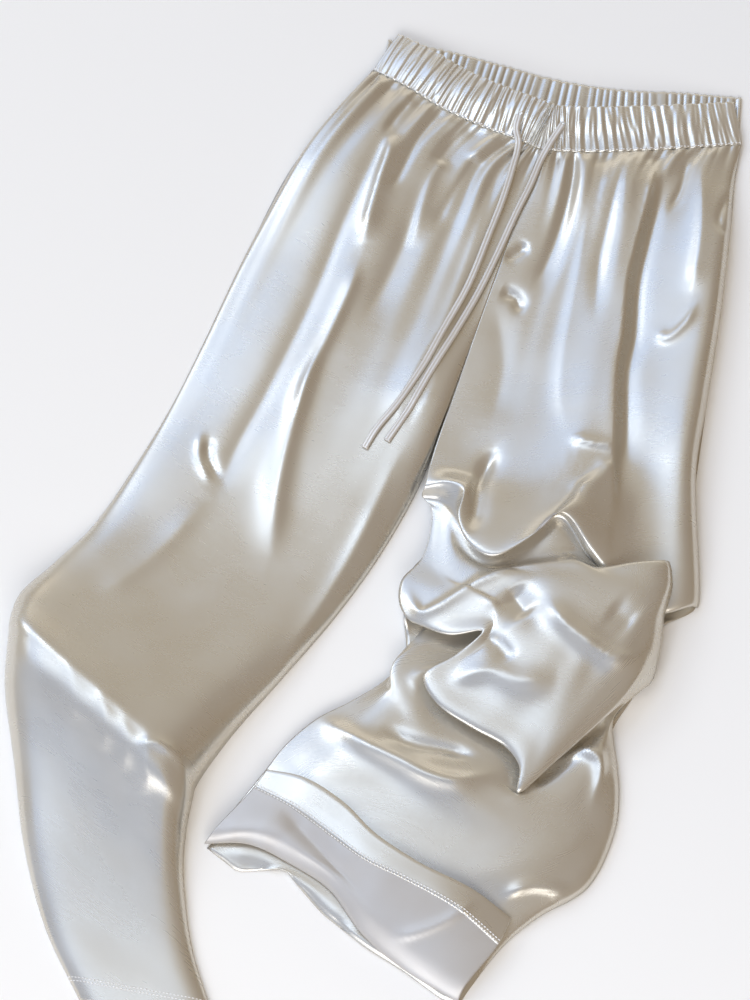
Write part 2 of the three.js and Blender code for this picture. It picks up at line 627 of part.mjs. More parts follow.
function leftBack() {
  const halfGap = SEAM_GAP / 2;
  const sections = [
    (across) => backSeamPoint(0.5 + across * 0.5).add(new THREE.Vector3(halfGap, 0, 0)),
    ...LEFT_BACK_SECTIONS.map((section) => (across) => new THREE.Vector3(
      THREE.MathUtils.lerp(section.inner[0] + halfGap, section.outer[0], across),
      THREE.MathUtils.lerp(section.inner[1], section.outer[1], across), 0)),
  ];
  const steps = [3, ...LEFT_BACK_SECTIONS.map((section) => section.steps)];
  const highest = (point) => {
    const lengthwise = 1 - smoothstep(LAYERS_FULL_BELOW, LAYERS_FLAT_ABOVE, point.y);
    const besideSeam = point.x - centreLineAt(Math.max(point.y, LAYERS_FULL_BELOW));
    const fromSeam = smoothstep(BESIDE_SEAM_FROM, BESIDE_SEAM_TO, besideSeam);
    const rise = point.y > LAYERS_FULL_BELOW ? lengthwise * fromSeam : lengthwise;
    return BACK_WALL + rise * LAYERS_HIGHEST;
  };
  return layeredBack(sections, steps, leftFrontRows(COVER_FINENESS), highest, 1);
}

// Gathers of the casing: a cosine wave with slightly uneven spacing and depth
function gatherWave(along, seed) {
  const uneven = along + 0.004 * Math.sin(23 * along + seed) + 0.002 * Math.sin(61 * along);
  const depth = 0.8 + 0.2 * Math.sin(37 * along + 2 * seed);
  return depth * Math.cos(2 * Math.PI * GATHERS_ACROSS * uneven);
}

function frontBand() {
  const columns = GATHERS_ACROSS * GATHER_SAMPLES;
  const outer = BAND_LEVELS.map((share) => {
    const row = [];
    for (let column = 0; column <= columns; column += 1) {
      const along = column / columns;
      const middle = Math.sin(Math.PI * along);
      const point = waistSeam.getPoint(along);
      const rise = SEAM_GAP + share * (BAND_HEIGHT - SEAM_GAP);
      point.addScaledVector(towardsWaist(waistSeam, along), rise);
      const puffShare = THREE.MathUtils.clamp(share, PUFF_START, PUFF_END);
      const puff = BAND_PUFF * Math.sin(Math.PI * puffShare);
      const gathered = puff + GATHER_DEPTH * gatherWave(along, 1);
      point.z += BAND_MOUTH_RISE * share * middle + gathered * middle ** BAND_END_FLATNESS;
      row.push(point);
    }
    return row;
  });
  const plain = outer.map((row, index) => row.map((point, column) => {
    const along = column / columns;
    const inside = point.clone();
    const mouth = BAND_MOUTH_RISE * BAND_LEVELS[index] * Math.sin(Math.PI * along);
    inside.z = waistSeam.getPoint(along).z + mouth - BAND_WALL;
    return inside;
  }));
  return wallBetween(outer, plain);
}

function backBand() {
  const columns = GATHERS_ACROSS * BACK_BAND_SAMPLES;
  const top = BACK_BAND_LEVELS.map((share) => {
    const row = [];
    for (let column = 0; column <= columns; column += 1) {
      const along = column / columns;
      const point = backBandTop.getPoint(along);
      point.addScaledVector(towardsWaist(backBandTop, along), -share * BAND_HEIGHT);
      point.z = BACK_BAND_FACE + BACK_GATHER_DEPTH * gatherWave(along, 4);
      row.push(point);
    }
    return row;
  });
  const floor = top.map((row) => row.map((point) => new THREE.Vector3(point.x, point.y, 0)));
  return wallBetween(top, floor);
}

function tie(route) {
  const path = splineThrough(route);
  const section = new THREE.Shape();
  for (let side = 0; side < TIE_SIDES; side += 1) {
    const angle = (2 * Math.PI * side) / TIE_SIDES;
    const x = (TIE_THICKNESS / 2) * Math.cos(angle);
    const y = (TIE_WIDTH / 2) * Math.sin(angle);
    if (side === 0) {
      section.moveTo(x, y);
    } else {
      section.lineTo(x, y);
    }
  }
  section.closePath();
  const steps = Math.round(path.getLength() / TIE_STEP);
  return new THREE.ExtrudeGeometry(section, { steps, extrudePath: path, bevelEnabled: false });
}

const trousers = new THREE.Group();
const footprint = new THREE.Box3();

function addPiece(name, geometry, material) {
  const piece = new THREE.Mesh(geometry, material);
  piece.name = name;
  trousers.add(piece);
  geometry.computeBoundingBox();
  footprint.union(geometry.boundingBox);
}

addPiece("right_front", panelWall(rightFrontRows(1)), satin);
addPiece("left_front", panelWall(leftFrontRows(1)), satin);
addPiece("right_back", rightBack(), wrongSide);
addPiece("left_back", leftBack(), wrongSide);
addPiece("waistband_front", frontBand(), casingSatin);
addPiece("waistband_back", backBand(), wrongSide);
addPiece("tie_right", tie(RIGHT_TIE_ROUTE), tieSatin);
addPiece("tie_left", tie(LEFT_TIE_ROUTE), tieSatin);

// The origin is the middle of the footprint, on the surface
trousers.position.set(
  -(footprint.min.x + footprint.max.x) / 2, -(footprint.min.y + footprint.max.y) / 2, 0);

export default trousers;
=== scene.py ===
import math

import bmesh
import bpy
import numpy as np
from mathutils import Matrix, Vector


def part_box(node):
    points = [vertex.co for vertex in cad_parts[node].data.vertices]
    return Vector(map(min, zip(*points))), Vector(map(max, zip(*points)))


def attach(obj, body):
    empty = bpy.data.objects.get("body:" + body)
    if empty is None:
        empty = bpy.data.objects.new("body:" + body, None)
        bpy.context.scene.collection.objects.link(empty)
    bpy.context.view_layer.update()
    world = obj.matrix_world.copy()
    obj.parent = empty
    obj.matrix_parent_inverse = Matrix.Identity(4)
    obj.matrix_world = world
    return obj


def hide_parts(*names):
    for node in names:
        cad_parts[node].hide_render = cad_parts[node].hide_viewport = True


bl_info = {
    "name": "Wide-leg satin trousers",
    "version": (1, 0, 0),
    "blender": (4, 5, 0),
    "location": "View3D > Sidebar > Trousers",
    "description": "Dresses the packed trousers in fine satin cloth with folds, gathers and sewing",
    "category": "Object",
}

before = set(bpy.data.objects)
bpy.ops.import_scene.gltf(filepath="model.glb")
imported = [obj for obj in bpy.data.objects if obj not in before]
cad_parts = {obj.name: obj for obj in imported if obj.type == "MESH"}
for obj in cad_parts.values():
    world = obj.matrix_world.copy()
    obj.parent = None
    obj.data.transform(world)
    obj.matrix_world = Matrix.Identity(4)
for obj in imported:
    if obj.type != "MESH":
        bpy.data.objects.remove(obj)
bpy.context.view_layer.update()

# Tables are in the layout's own millimetres; place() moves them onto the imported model
MM = 0.001
BACK_BAND_CORNER = (328.0, 447.0)
_band_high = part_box("waistband_back")[1]
SHIFT = np.array([_band_high.x - BACK_BAND_CORNER[0] * MM,
                  _band_high.y - BACK_BAND_CORNER[1] * MM, 0.0])

# The waist seam, from the right side to the left side, and the share of it that is the right front
WAIST_SEAM = [
    (-1, 415, 6.6), (28, 397, 9.5), (59, 374, 12.5), (95, 354, 14.5), (132, 338, 15),
    (147, 331, 15), (180, 328, 15), (232, 330, 13.5), (287, 335, 10), (326, 340, 6.6),
]
CENTRE_AT = 5 / 9

BACK_BAND_TOP = [
    (12, 447, 0), (65, 436, 0), (115, 421, 0), (168, 405, 0), (222, 396, 0), (276, 393, 0),
    (328, 388, 0),
]

CENTRE_FRONT = [
    (147, 331, 14.2), (136, 298, 14), (118, 243, 14), (92, 165, 14), (64, 82, 14),
]

# Right leg, down the leg: outer end, inner end, bow, height, and how much lower the outer side lies
RIGHT_SECTIONS = [
    ("high hip", (-32, 378), (136, 298), -4, 15, 0),
    ("hip", (-64, 334), (118, 243), 0, 16, 1),
    ("seat", (-112, 236), (92, 165), 0, 15, 9),
    ("crotch", (-152, 140), (64, 82), 0, 14, 9),
    ("upper thigh", (-177, 84), (38, 12), 0, 14, 9),
    ("thigh", (-205, 32), (4, -52), 0, 13, 4),
    ("low thigh", (-240, -24), (-34, -108), 0, 15, 0),
    ("above knee", (-275, -62), (-76, -160), 0, 23, 0),
    ("knee rise", (-301, -90), (-122, -216), 0, 36, 0),
    ("knee ridge", (-308, -116), (-149, -258), 4, 47, 0),
    ("knee brow", (-308, -123), (-150, -264), 4, 46.6, 0),
    ("knee hang", (-309, -140), (-153, -279), 2, 44.9, 0),
    ("below knee", (-310, -166), (-155, -292), 0, 38, 0),
    ("shin", (-299, -238), (-157, -322), 0, 27, 0),
    ("calf", (-288, -310), (-155, -352), 0, 19, 0),
    ("ankle", (-268, -378), (-148, -396), 0, 13, 0),
    ("hem", (-238, -438), (-126, -462), 0, 10, 0),
]

# Left leg, down the leg through its folds: edge height, then stations from inner to outer edge
LEFT_SECTIONS = [
    ("high hip", 3.2, [(136, 298, 14), (190, 297, 18), (250, 299, 15), (319, 302, 13)]),
    ("hip", 3.2, [(118, 243, 14), (180, 240, 14), (240, 242, 14), (312, 244, 26)]),
    ("seat", 3.2, [(92, 165, 14), (156, 160, 15), (226, 160, 15), (301, 168, 28)]),
    ("crotch", 3.2, [(64, 82, 14), (120, 74, 17), (174, 70, 19), (222, 76, 19), (286, 84, 30)]),
    ("upper thigh", 3.2, [(48, 30, 17), (104, 12, 23), (160, 8, 27), (218, 24, 20), (275, 22, 30)]),
    ("first lip", 3.2, [
        (42, 4, 20), (60, 5, 28), (74, -2, 32), (69, -30, 35), (78, -54, 37), (98, -67, 39),
        (128, -52, 42), (157, -30, 46), (180, -58, 36), (206, -86, 20), (236, -108, 13),
        (272, -99, 17)]),
    ("under first lip", 4, [
        (40, -1, 11), (56, -6, 14), (66, -18, 18), (76, -34, 20), (86, -50, 22), (102, -56, 24),
        (126, -42, 26), (156, -24, 30), (178, -58, 22), (204, -84, 11), (234, -104, 5),
        (266, -94, 4)]),
    ("between the folds", 4, [
        (44, -6, 11), (56, -13, 14), (64, -24, 17), (73, -41, 19), (85, -57, 21), (103, -63, 24),
        (128, -53, 26), (157, -40, 29), (179, -60, 24), (204, -78, 14), (222, -88, 6),
        (236, -82, 4)]),
    ("second fold top", 26, [
        (48, -11, 11), (56, -20, 14), (63, -30, 17), (70, -48, 19), (84, -64, 21), (104, -70, 24),
        (130, -64, 27), (158, -60, 29), (184, -72, 31), (216, -69, 34), (247, -66, 34)]),
    ("second fold", 20, [
        (40, -58, 15), (66, -80, 24), (110, -84, 32), (160, -88, 38), (208, -92, 40), (250, -86, 36)]),
    ("second fold middle", 14, [
        (22, -80, 17), (62, -98, 27), (92, -102, 33), (108, -112, 35), (120, -122, 37),
        (132, -132, 38), (146, -142, 39), (160, -150, 39), (172, -156, 39), (182, -160, 38),
        (200, -156, 38), (220, -140, 37), (243, -112, 35)]),
    ("second fold low", 12, [
        (21, -104, 19), (60, -117, 28), (98, -122, 33), (88, -144, 32), (70, -162, 31),
        (78, -180, 31), (100, -196, 32), (120, -208, 32), (134, -222, 32), (140, -236, 31),
        (170, -214, 31), (206, -186, 31), (239, -138, 32)]),
    ("second lip", 12, [
        (32, -119, 20), (62, -133, 28), (89, -131, 33), (66, -151, 30), (39, -168, 28),
        (50, -193, 28), (80, -215, 28), (107, -231, 28), (118, -248, 28), (116, -270, 25),
        (150, -241, 24), (192, -202, 23), (231, -168, 20)]),
    ("under second lip", 6, [
        (44, -110, 10), (72, -116, 14), (98, -122, 16), (92, -146, 15), (64, -166, 14),
        (68, -184, 14), (92, -202, 14), (116, -220, 14), (130, -238, 13), (132, -254, 13),
        (150, -230, 12), (184, -202, 11), (220, -176, 9)]),
    ("shin top", 5, [
        (36, -126, 9), (22, -142, 12), (16, -152, 15), (22, -168, 17), (34, -184, 18),
        (50, -202, 18), (76, -224, 19), (104, -243, 20), (118, -266, 20), (136, -262, 20),
        (160, -246, 19), (186, -224, 17), (199, -198, 10)]),
    ("shin", 4, [
        (12, -162, 8), (10, -180, 15), (24, -206, 19), (54, -232, 22), (88, -256, 24),
        (128, -272, 22), (168, -262, 20), (201, -240, 14)]),
    ("shin ridge", 4, [
        (-20, -184, 8), (-12, -212, 18), (22, -240, 24), (64, -262, 26), (110, -282, 23),
        (158, -282, 20), (202, -262, 14)]),
    ("calf", 4, [
        (-48, -199, 8), (-30, -232, 18), (18, -268, 22), (70, -296, 22), (120, -306, 21),
        (162, -308, 18), (197, -297, 12)]),
    ("low calf", 4, [
        (-74, -222, 8), (-48, -256, 17), (0, -295, 19), (62, -330, 19), (114, -340, 18),
        (174, -343, 11)]),
    ("ankle", 4, [
        (-92, -246, 8), (-50, -282, 15), (0, -322, 16), (56, -352, 15), (100, -366, 13),
        (133, -368, 9)]),
    ("under the turn-back", 4, [
        (-108, -266, 6), (-70, -292, 9), (-20, -332, 10), (30, -368, 10), (74, -396, 9),
        (104, -392, 6)]),
    ("turn", 4, [
        (-140, -306, 5), (-104, -307, 8), (-70, -323, 8), (-38, -345, 8), (-10, -384, 8),
        (24, -413, 7), (67, -439, 5)]),
    ("turned up", 10, [
        (-134, -299, 11), (-100, -301, 16), (-66, -316, 17), (-34, -337, 18), (-4, -372, 18),
        (30, -401, 16), (72, -428, 11)]),
    ("hem stitching", 13, [
        (-100, -261, 13), (-68, -281, 20), (-36, -306, 23), (-8, -327, 25), (24, -343, 25),
        (66, -367, 23), (99, -394, 14)]),
    ("hem edge", 13, [
        (-89, -246, 14), (-58, -255, 20), (-26, -277, 24), (0, -304, 26), (36, -329, 26),
        (78, -350, 23), (110, -372, 14)]),
]

# Left leg, hidden layers: inner and outer ends of each section
LEFT_BACK_SECTIONS = [
    ((118, 243), (312, 244)), ((92, 165), (301, 168)), ((65.5, 82), (286, 84)),
    ((48, 4), (269, -20)), ((60, -34), (262, -66)), ((30, -70), (271, -98)),
    ((24, -104), (240, -118)), ((26, -136), (232, -146)), ((20, -160), (217, -176)),
    ((-10, -178), (196, -212)), ((-44, -202), (196, -262)), ((-73, -227), (188, -294)),
    ((-93, -256), (160, -340)), ((-106, -272), (116, -362)), ((-122, -292), (92, -402)),
    ((-138, -309), (68, -440)),
]

LEFT_BACK_END = [
    (-138, -309), (-113, -329), (-74, -327), (-65, -339), (-44, -364), (-8, -393), (22, -412),
    (54, -436), (68, -440),
]

# Ridges and troughs: route, height, width on the left of the route, width on the right,
# how much wider it is at the end, and the stretch of the panel that has it
THIGH = ("waist", "first lip")
LEG = ("waist", "below knee")
KNEE = ("low thigh", "shin")
TIER = ("second fold top", "second lip")
SHIN = ("under second lip", "under the turn-back")
TURNED = ("turned up", "hem edge")
RIGHT_FOLDS = [
    ([(31, 379), (20, 365), (10, 346)], -2.5, 4, 3, 1.2, LEG),
    ([(14, 345), (12, 327), (4, 298), (-5, 264), (-11, 236)], 4.5, 9, 5, 1.2, LEG),
    ([(-14, 215), (-22, 191), (-38, 152), (-56, 111), (-69, 66)], 3.2, 5, 7, 1.0, LEG),
    ([(-50, 128), (-69, 66), (-81, 7), (-88, -57)], 3.6, 5, 9, 1.6, LEG),
    ([(7, 341), (-25, 264), (-56, 181), (-94, 95), (-121, 39), (-134, -1)], -2.2, 9, 8, 1.1, LEG),
    ([(76, 353), (66, 335), (43, 292), (31, 254), (4, 189), (-14, 155)], -2.8, 9, 8, 1.5, LEG),
    ([(62, 320), (51, 304), (31, 231)], 3.5, 7, 7, 1.4, LEG),
    ([(90, 322), (85, 315), (62, 273), (51, 247)], -2.6, 7, 6, 1.2, LEG),
    ([(104, 300), (84, 232), (56, 150), (20, 66)], 3.0, 10, 12, 1.3, LEG),
    ([(56, 365), (39, 341), (22, 305), (15, 290)], -2.0, 4, 4, 1.0, LEG),
    ([(-143, 52), (-143, 35), (-133, 13)], -2.4, 4, 3.2, 1.0, LEG),
    ([(-150, 58), (-150, 36), (-140, 12)], 1.6, 4, 3, 1.0, LEG),
    ([(-144, -7), (-190, -61), (-234, -98)], 2.0, 9, 12, 1.3, LEG),
    ([(21, 36), (-20, -55), (-63, -131), (-112, -219)], 2.0, 9, 7, 1.0, LEG),
    ([(-302, -106), (-226, -200), (-158, -262)], 0.5, 10, 12, 1.0, KNEE),
    ([(-196, -232), (-176, -234), (-160, -246), (-157, -266), (-158, -290)], 2.4, 5, 4, 1.0, KNEE),
    ([(-256, -156), (-248, -184), (-247, -216)], 0.7, 8, 8, 1.3, KNEE),
    ([(-228, -184), (-221, -208), (-222, -240)], 0.8, 7, 6, 1.3, KNEE),
    ([(-208, -204), (-203, -228), (-206, -256)], 0.7, 6, 7, 1.3, KNEE),
    ([(-186, -222), (-187, -246), (-184, -274)], 0.9, 6, 6, 1.3, KNEE),
]
LEFT_FOLDS = [
    ([(196, 312), (187, 262), (175, 197), (166, 151), (161, 115), (160, 79), (166, 52)],
     1.3, 30, 5, 1.2, THIGH),
    ([(246, 322), (242, 290), (229, 236), (220, 198), (214, 144), (208, 110), (204, 60),
      (201, 10), (199, -30)], 12.0, 5, 45, 1.0, THIGH),
    ([(202, 24), (190, 6), (167, -10)], 3.0, 6, 9, 1.0, THIGH),
    ([(256, 318), (252, 290), (239, 236), (230, 198), (224, 144), (217, 118), (214, 44),
      (209, 20)], -3.0, 6, 4.5, 1.3, THIGH),
    ([(177, 319), (171, 284), (153, 227), (137, 189)], -3.2, 8, 7, 1.1, THIGH),
    ([(134, 235), (114, 221)], -3.5, 5, 5, 1.0, THIGH),
    ([(109, 190), (122, 184), (127, 170)], -3.5, 5, 4, 1.0, THIGH),
    ([(105, 176), (110, 121), (100, 68)], -1.2, 12, 11, 1.1, THIGH),
    ([(220, 315), (211, 284), (202, 244), (196, 217), (191, 164)], -2.6, 6, 6, 1.2, THIGH),
    ([(276, 320), (270, 292), (259, 269)], -2.2, 4, 3, 1.0, THIGH),
    ([(291, 320), (285, 238), (275, 184)], 3.0, 9, 7, 1.0, THIGH),
    ([(279, 173), (269, 156), (253, 144), (244, 149)], 2.4, 4, 4, 1.0, THIGH),
    ([(313, 288), (302, 254), (310, 244)], -3.0, 4, 4, 1.0, THIGH),
    ([(103, 39), (91, 15), (86, -17), (81, -44)], -6.0, 7, 6, 1.0, THIGH),
    ([(166, 46), (186, 40), (206, 37)], 2.2, 4, 3.5, 1.0, THIGH),
    ([(26, -86), (32, -103), (39, -111), (53, -106), (71, -95), (89, -84), (113, -75), (151, -70),
      (200, -69)], 3.5, 4, 7, 1.0, TIER),
    ([(61, -175), (92, -166), (118, -175), (149, -177)], 3.0, 9, 8, 1.2, TIER),
    ([(145, -106), (156, -124), (180, -145), (201, -157), (228, -152)], 5.0, 9, 9, 1.0, TIER),
    ([(112, -95), (128, -118)], -5.0, 13, 13, 1.0, TIER),
    ([(196, -112), (215, -128)], -2.5, 12, 12, 1.0, TIER),
    ([(92, -134), (104, -145), (112, -158)], -3.0, 5, 6, 1.0, TIER),
    ([(35, -181), (37, -163), (53, -158), (72, -150)], 2.5, 4, 4, 1.0, SHIN),
    ([(-46, -198), (-14, -222), (20, -240), (43, -253), (68, -259), (100, -250)], 5, 7, 8, 1.0, SHIN),
    ([(4, -210), (30, -224), (57, -229), (83, -236)], -4.0, 6, 7, 1.0, SHIN),
    ([(118, -270), (130, -257), (148, -239), (170, -230), (184, -236), (185, -253), (178, -276)],
     5.0, 6, 5, 1.0, SHIN),
    ([(118, -266), (148, -240), (180, -210), (194, -201)], -5.0, 8, 6, 1.0, SHIN),
    ([(103, -354), (125, -346), (146, -347), (159, -354)], 2.5, 5, 4, 1.0, SHIN),
    ([(-76, -280), (-58, -302), (-37, -326), (-18, -362), (-6, -388)], 4.0, 9, 7, 1.3, TURNED),
    ([(-8, -392), (32, -386), (56, -377), (80, -362)], -2.2, 4, 3, 1.0, TURNED),
]

# Ties: route of each, in metres in the layout's own frame
RIGHT_TIE_ROUTE = [
    (0.128, 0.360, 0.0212), (0.125, 0.347, 0.0202), (0.127, 0.334, 0.0182), (0.120, 0.304, 0.0182),
    (0.112, 0.277, 0.0185), (0.100, 0.244, 0.0188), (0.081, 0.194, 0.0188), (0.059, 0.151, 0.0204),
    (0.044, 0.121, 0.0220), (0.034, 0.104, 0.0224), (0.019, 0.081, 0.0218), (0.001, 0.058, 0.0199),
    (-0.009, 0.041, 0.0181),
]
LEFT_TIE_ROUTE = [
    (0.166, 0.350, 0.0224), (0.158, 0.338, 0.0206), (0.147, 0.318, 0.0184), (0.137, 0.293, 0.0182),
    (0.124, 0.265, 0.0178), (0.106, 0.223, 0.0172), (0.089, 0.186, 0.0176), (0.070, 0.150, 0.0200),
    (0.054, 0.122, 0.0222), (0.044, 0.104, 0.0226), (0.035, 0.087, 0.0224), (0.029, 0.076, 0.0216),
    (0.020, 0.062, 0.0207), (0.010, 0.047, 0.0193),
]

# Seen from above the legs' lower end, as the garment lies
CAMERA_ELEVATION = math.radians(68)
CAMERA_DISTANCE = 3.0
LENS_PER_DISTANCE = 1.17
FRAME_HEIGHT_PX = 1000
SENSOR_HEIGHT = 24

# Soft boxes: name, place and size in metres, power in watts, and colour
SOFT_BOXES = [
    ("Window pane", (-1.05, 1.1, 2.95), (0.55, 0.4), 4.0, (0.86, 0.95, 1.0)),
    ("Window side", (-2.2, 1.6, 2.2), (1.5, 1.0), 16, (0.86, 0.94, 1.0)),
    ("Front fill", (-0.6, -2.6, 1.9), (3.0, 1.5), 66, (0.97, 0.98, 1.0)),
    ("Back fill", (0.3, 3.0, 0.9), (3.0, 0.9), 6, (1.0, 0.98, 0.95)),
]

# Light from each side of the room, which the satin reflects
WARM_WALLS = (0.54, 0.48, 0.375, 1)
DARK_SIDE = (0.30, 0.22, 0.13, 1)
COOL_CORNER = (0.38, 0.46, 0.66, 1)
WINDOW_LIGHT = (0.88, 1.18, 1.86, 1)
SILL_LIGHT = (1.8, 2.15, 2.75, 1)

# Heights in mm: a front's edge on the surface, the table's edges that lie so, the backs' cloth, and
# the rim round the hidden layers
PANEL_EDGE = 1.6
LOW_EDGE = 4
BACK_HEIGHT = 0.95
RIM_HEIGHT = 0.9

# How flat a panel's crown is, with more at the right hip for so many sections, and how flat the folds'
# share across it is; how much columns bunch at the edges, and the points along a fold's route
RIGHT_FLATNESS = 8
HIP_FLATNESS = 16
HIP_SECTIONS = 1.6
LEFT_FLATNESS = 20
RELIEF_FLATNESS = 12
EDGE_BUNCHING = 0.4
ROUTE_SAMPLES = 180

# Gathers across the front, where the uneven waves of front and back start, their heights in mm, how
# far down the panels they fade, and how far below the waist seam the panels start
GATHERS = 45
FRONT_WAVE = 1
BACK_WAVE = 4
FRONT_GATHER_HEIGHT = 0.9
BACK_GATHER_HEIGHT = 0.45
GATHER_FADE = 16
WAIST_DROP = 0.8

# Casing, in mm: rolled upper edge, overlap on the panels, how far its lower edge turns down and in,
# puff, rise of the waist's mouth, and how proud the back casing lies
CASING_ROLL = 1.5
CASING_OVERLAP = 1.0
CASING_TUCK = (-0.3, -1.2)
CASING_PUFF = 2.4
MOUTH_RISE = 5
BACK_CASING_PUFF = 1.4

# Stitches of each kind: length, spacing and radius in mm
CASING_STITCH = (2.4, 3.2, 0.5)
BUTTONHOLE_STITCH = (2.0, 0.8, 0.4)
RIGHT_HEM_STITCH = (2.4, 3.0, 0.45)
LEFT_HEM_STITCH = (2.6, 3.1, 0.55)

# Stitch rows: places between the ankle and the right hem, places past the section called hem
# stitching, and half the length of a buttonhole in mm
RIGHT_STITCH_PLACES = (0.66, 0.71)
LEFT_STITCH_PLACES = (0.04, 0.16)
BUTTONHOLE_HALF = 3.6

# Hidden layers, in mm: full height below one place and none above the other, the most height, the
# room that they leave under the front, and the gap that lies under flat cloth
LAYERS_FULL_BELOW = 60
LAYERS_FLAT_ABOVE = 220
LAYERS_HIGHEST = 60
LAYER_CLEARANCE = 2.6
FLOOR_GAP = 1.0

# Low and high corners in plan of what the ties can touch, and how far below them the cloth stays, in mm
UNDER_TIES = ((-30, 20), (180, 350))
TIE_REST = 1.5


def place(points):
    """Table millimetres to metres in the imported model's frame."""
    return np.asarray(points, float) * MM + SHIFT


def spline(points, where):
    """A smooth line through points (first axis), read at places from 0 to 1."""
    points = np.asarray(points, float)
    first = 2 * points[:1] - points[1:2]
    last = 2 * points[-1:] - points[-2:-1]
    knots = np.concatenate([first, points, last])
    spans = len(points) - 1
    position = np.clip(np.asarray(where, float), 0, 1) * spans
    index = np.minimum(position.astype(int), spans - 1)
    t = (position - index).reshape(position.shape + (1,) * (points.ndim - 1))
    p0, p1, p2, p3 = (knots[index + k] for k in range(4))

    def gap(a, b):
        return np.sqrt(np.linalg.norm(b - a, axis=-1, keepdims=True))

    middle = gap(p1, p2)
    middle = np.where(middle < 1e-4, 1.0, middle)
    before, after = gap(p0, p1), gap(p2, p3)
    before = np.where(before < 1e-4, middle, before)
    after = np.where(after < 1e-4, middle, after)
    slope1 = (p1 - p0) / before - (p2 - p0) / (before + middle) + (p2 - p1) / middle
    slope2 = (p2 - p1) / middle - (p3 - p1) / (middle + after) + (p3 - p2) / after
    slope1, slope2 = slope1 * middle, slope2 * middle
    curve2 = -3 * p1 + 3 * p2 - 2 * slope1 - slope2
    curve3 = 2 * p1 - 2 * p2 + slope1 + slope2
    return p1 + t * (slope1 + t * (curve2 + t * curve3))


def smoothstep(low, high, value):
    """0 below low, 1 above high, and a soft rise between."""
    t = np.clip((value - low) / (high - low), 0, 1)
    return t * t * (3 - 2 * t)


def tangents(points):
    """Unit directions along a line of points."""
    step = np.gradient(points, axis=0)
    return step / np.linalg.norm(step, axis=-1, keepdims=True)


def normals(grid):
    """Unit outward normals of a grid whose rows run down and columns across."""
    down = np.gradient(grid, axis=0)
    across = np.gradient(grid, axis=1)
    normal = np.cross(down, across)
    return normal / np.maximum(np.linalg.norm(normal, axis=-1, keepdims=True), 1e-9)


def column_places(columns):
    """Places across a panel from 0 to 1, closer together near both edges."""
    even = np.linspace(0, 1, columns + 1)
    return (1 - EDGE_BUNCHING) * even + EDGE_BUNCHING * (0.5 - 0.5 * np.cos(np.pi * even))


def crown(across, flatness):
    """1 in the middle of a panel, rounding off to 0 at its edges."""
    offset = np.abs(2 * across - 1)
    return np.sqrt(np.maximum(1 - offset ** flatness, 0))


def row_places(sections, spacing):
    """Places down a stack of sections, so that rows are about spacing apart."""
    stack = np.asarray(sections)
    lengths = np.linalg.norm(np.diff(stack, axis=0), axis=-1).mean(axis=1)
    places = []
    for index, length in enumerate(lengths):
        count = max(2, round(length / spacing))
        places.extend(index + np.arange(count) / count)
    places.append(len(lengths))
    return np.array(places)


def section_place(sections, name):
    """Where a named section lies down its panel, with the waist at 0."""
    return ["waist", *(section[0] for section in sections)].index(name)


def fold_field(x, y, route, height, left, right, widening):
    """Height that a fold adds at each point, and nothing far from its route."""
    line = spline(np.array(route, float), np.linspace(0, 1, ROUTE_SAMPLES))
    direction = tangents(line)
    reach = 3 * max(left, right) * max(widening, 1)
    near = ((x > line[:, 0].min() - reach) & (x < line[:, 0].max() + reach)
            & (y > line[:, 1].min() - reach) & (y < line[:, 1].max() + reach))
    field = np.zeros_like(x)
    dx = x[near][:, None] - line[:, 0]
    dy = y[near][:, None] - line[:, 1]
    nearest = np.argmin(dx * dx + dy * dy, axis=1)
    pick = np.arange(len(nearest))
    dx, dy = dx[pick, nearest], dy[pick, nearest]
    tx, ty = direction[nearest, 0], direction[nearest, 1]
    sideways = tx * dy - ty * dx
    ends = (nearest == 0) | (nearest == len(line) - 1)
    beyond = np.where(ends, tx * dx + ty * dy, 0)
    along = nearest / (len(line) - 1)
    width = np.where(sideways > 0, left, right) * (1 + (widening - 1) * along)
    distance = np.hypot(sideways, beyond) / width
    taper = smoothstep(-0.06, 0.25, along) * smoothstep(-0.06, 0.25, 1 - along)
    field[near] = height * taper * np.exp(-distance ** 1.5)
    return field


def swells(x, y, seed):
    """Very soft uneven rises and hollows, as cloth that has been handled has."""
    return (0.50 * np.sin(x / 23 + 1.3 * np.sin(y / 41 + seed) + seed)
            + 0.40 * np.sin((x + 2 * y) / 67 + 2.1 * seed)
            + 0.35 * np.sin((2 * x - y) / 49 + 0.7 * seed))


def gather_wave(along, seed, count=GATHERS):
    """Uneven gathers along the waist, about 1 high."""
    uneven = (along + 0.006 * np.sin(23 * along + seed) + 0.003 * np.sin(61 * along)
              + 0.0012 * np.sin(157 * along + 2 * seed))
    depth = 0.7 + 0.2 * np.sin(37 * along + 2 * seed) + 0.15 * np.sin(97 * along)
    valley = (1 - np.cos(2 * np.pi * count * uneven)) / 2
    return depth * (1 - 2 * valley ** 2)


def waist_line(along):
    """Where the panels start, just inside the casing's lower edge."""
    point = spline(WAIST_SEAM, along)
    point[..., 2] -= WAIST_DROP
    return point


def meet_centre(grid, down, places, seam_column):
    """Brings a front panel's centre edge onto the centre front seam, above the crotch."""
    crotch = len(CENTRE_FRONT) - 1
    above = down <= crotch
    target = spline(CENTRE_FRONT, down[above] / crotch)
    shift = target - grid[above, seam_column]
    nearness = (1 - np.abs(places - places[seam_column])) ** 4
    grid[above] += shift[:, None, :] * nearness[None, :, None]
    fade = 1 - smoothstep(crotch, crotch + 1.5, down[~above])
    grid[~above] += shift[-1] * fade[:, None, None] * nearness[None, :, None]


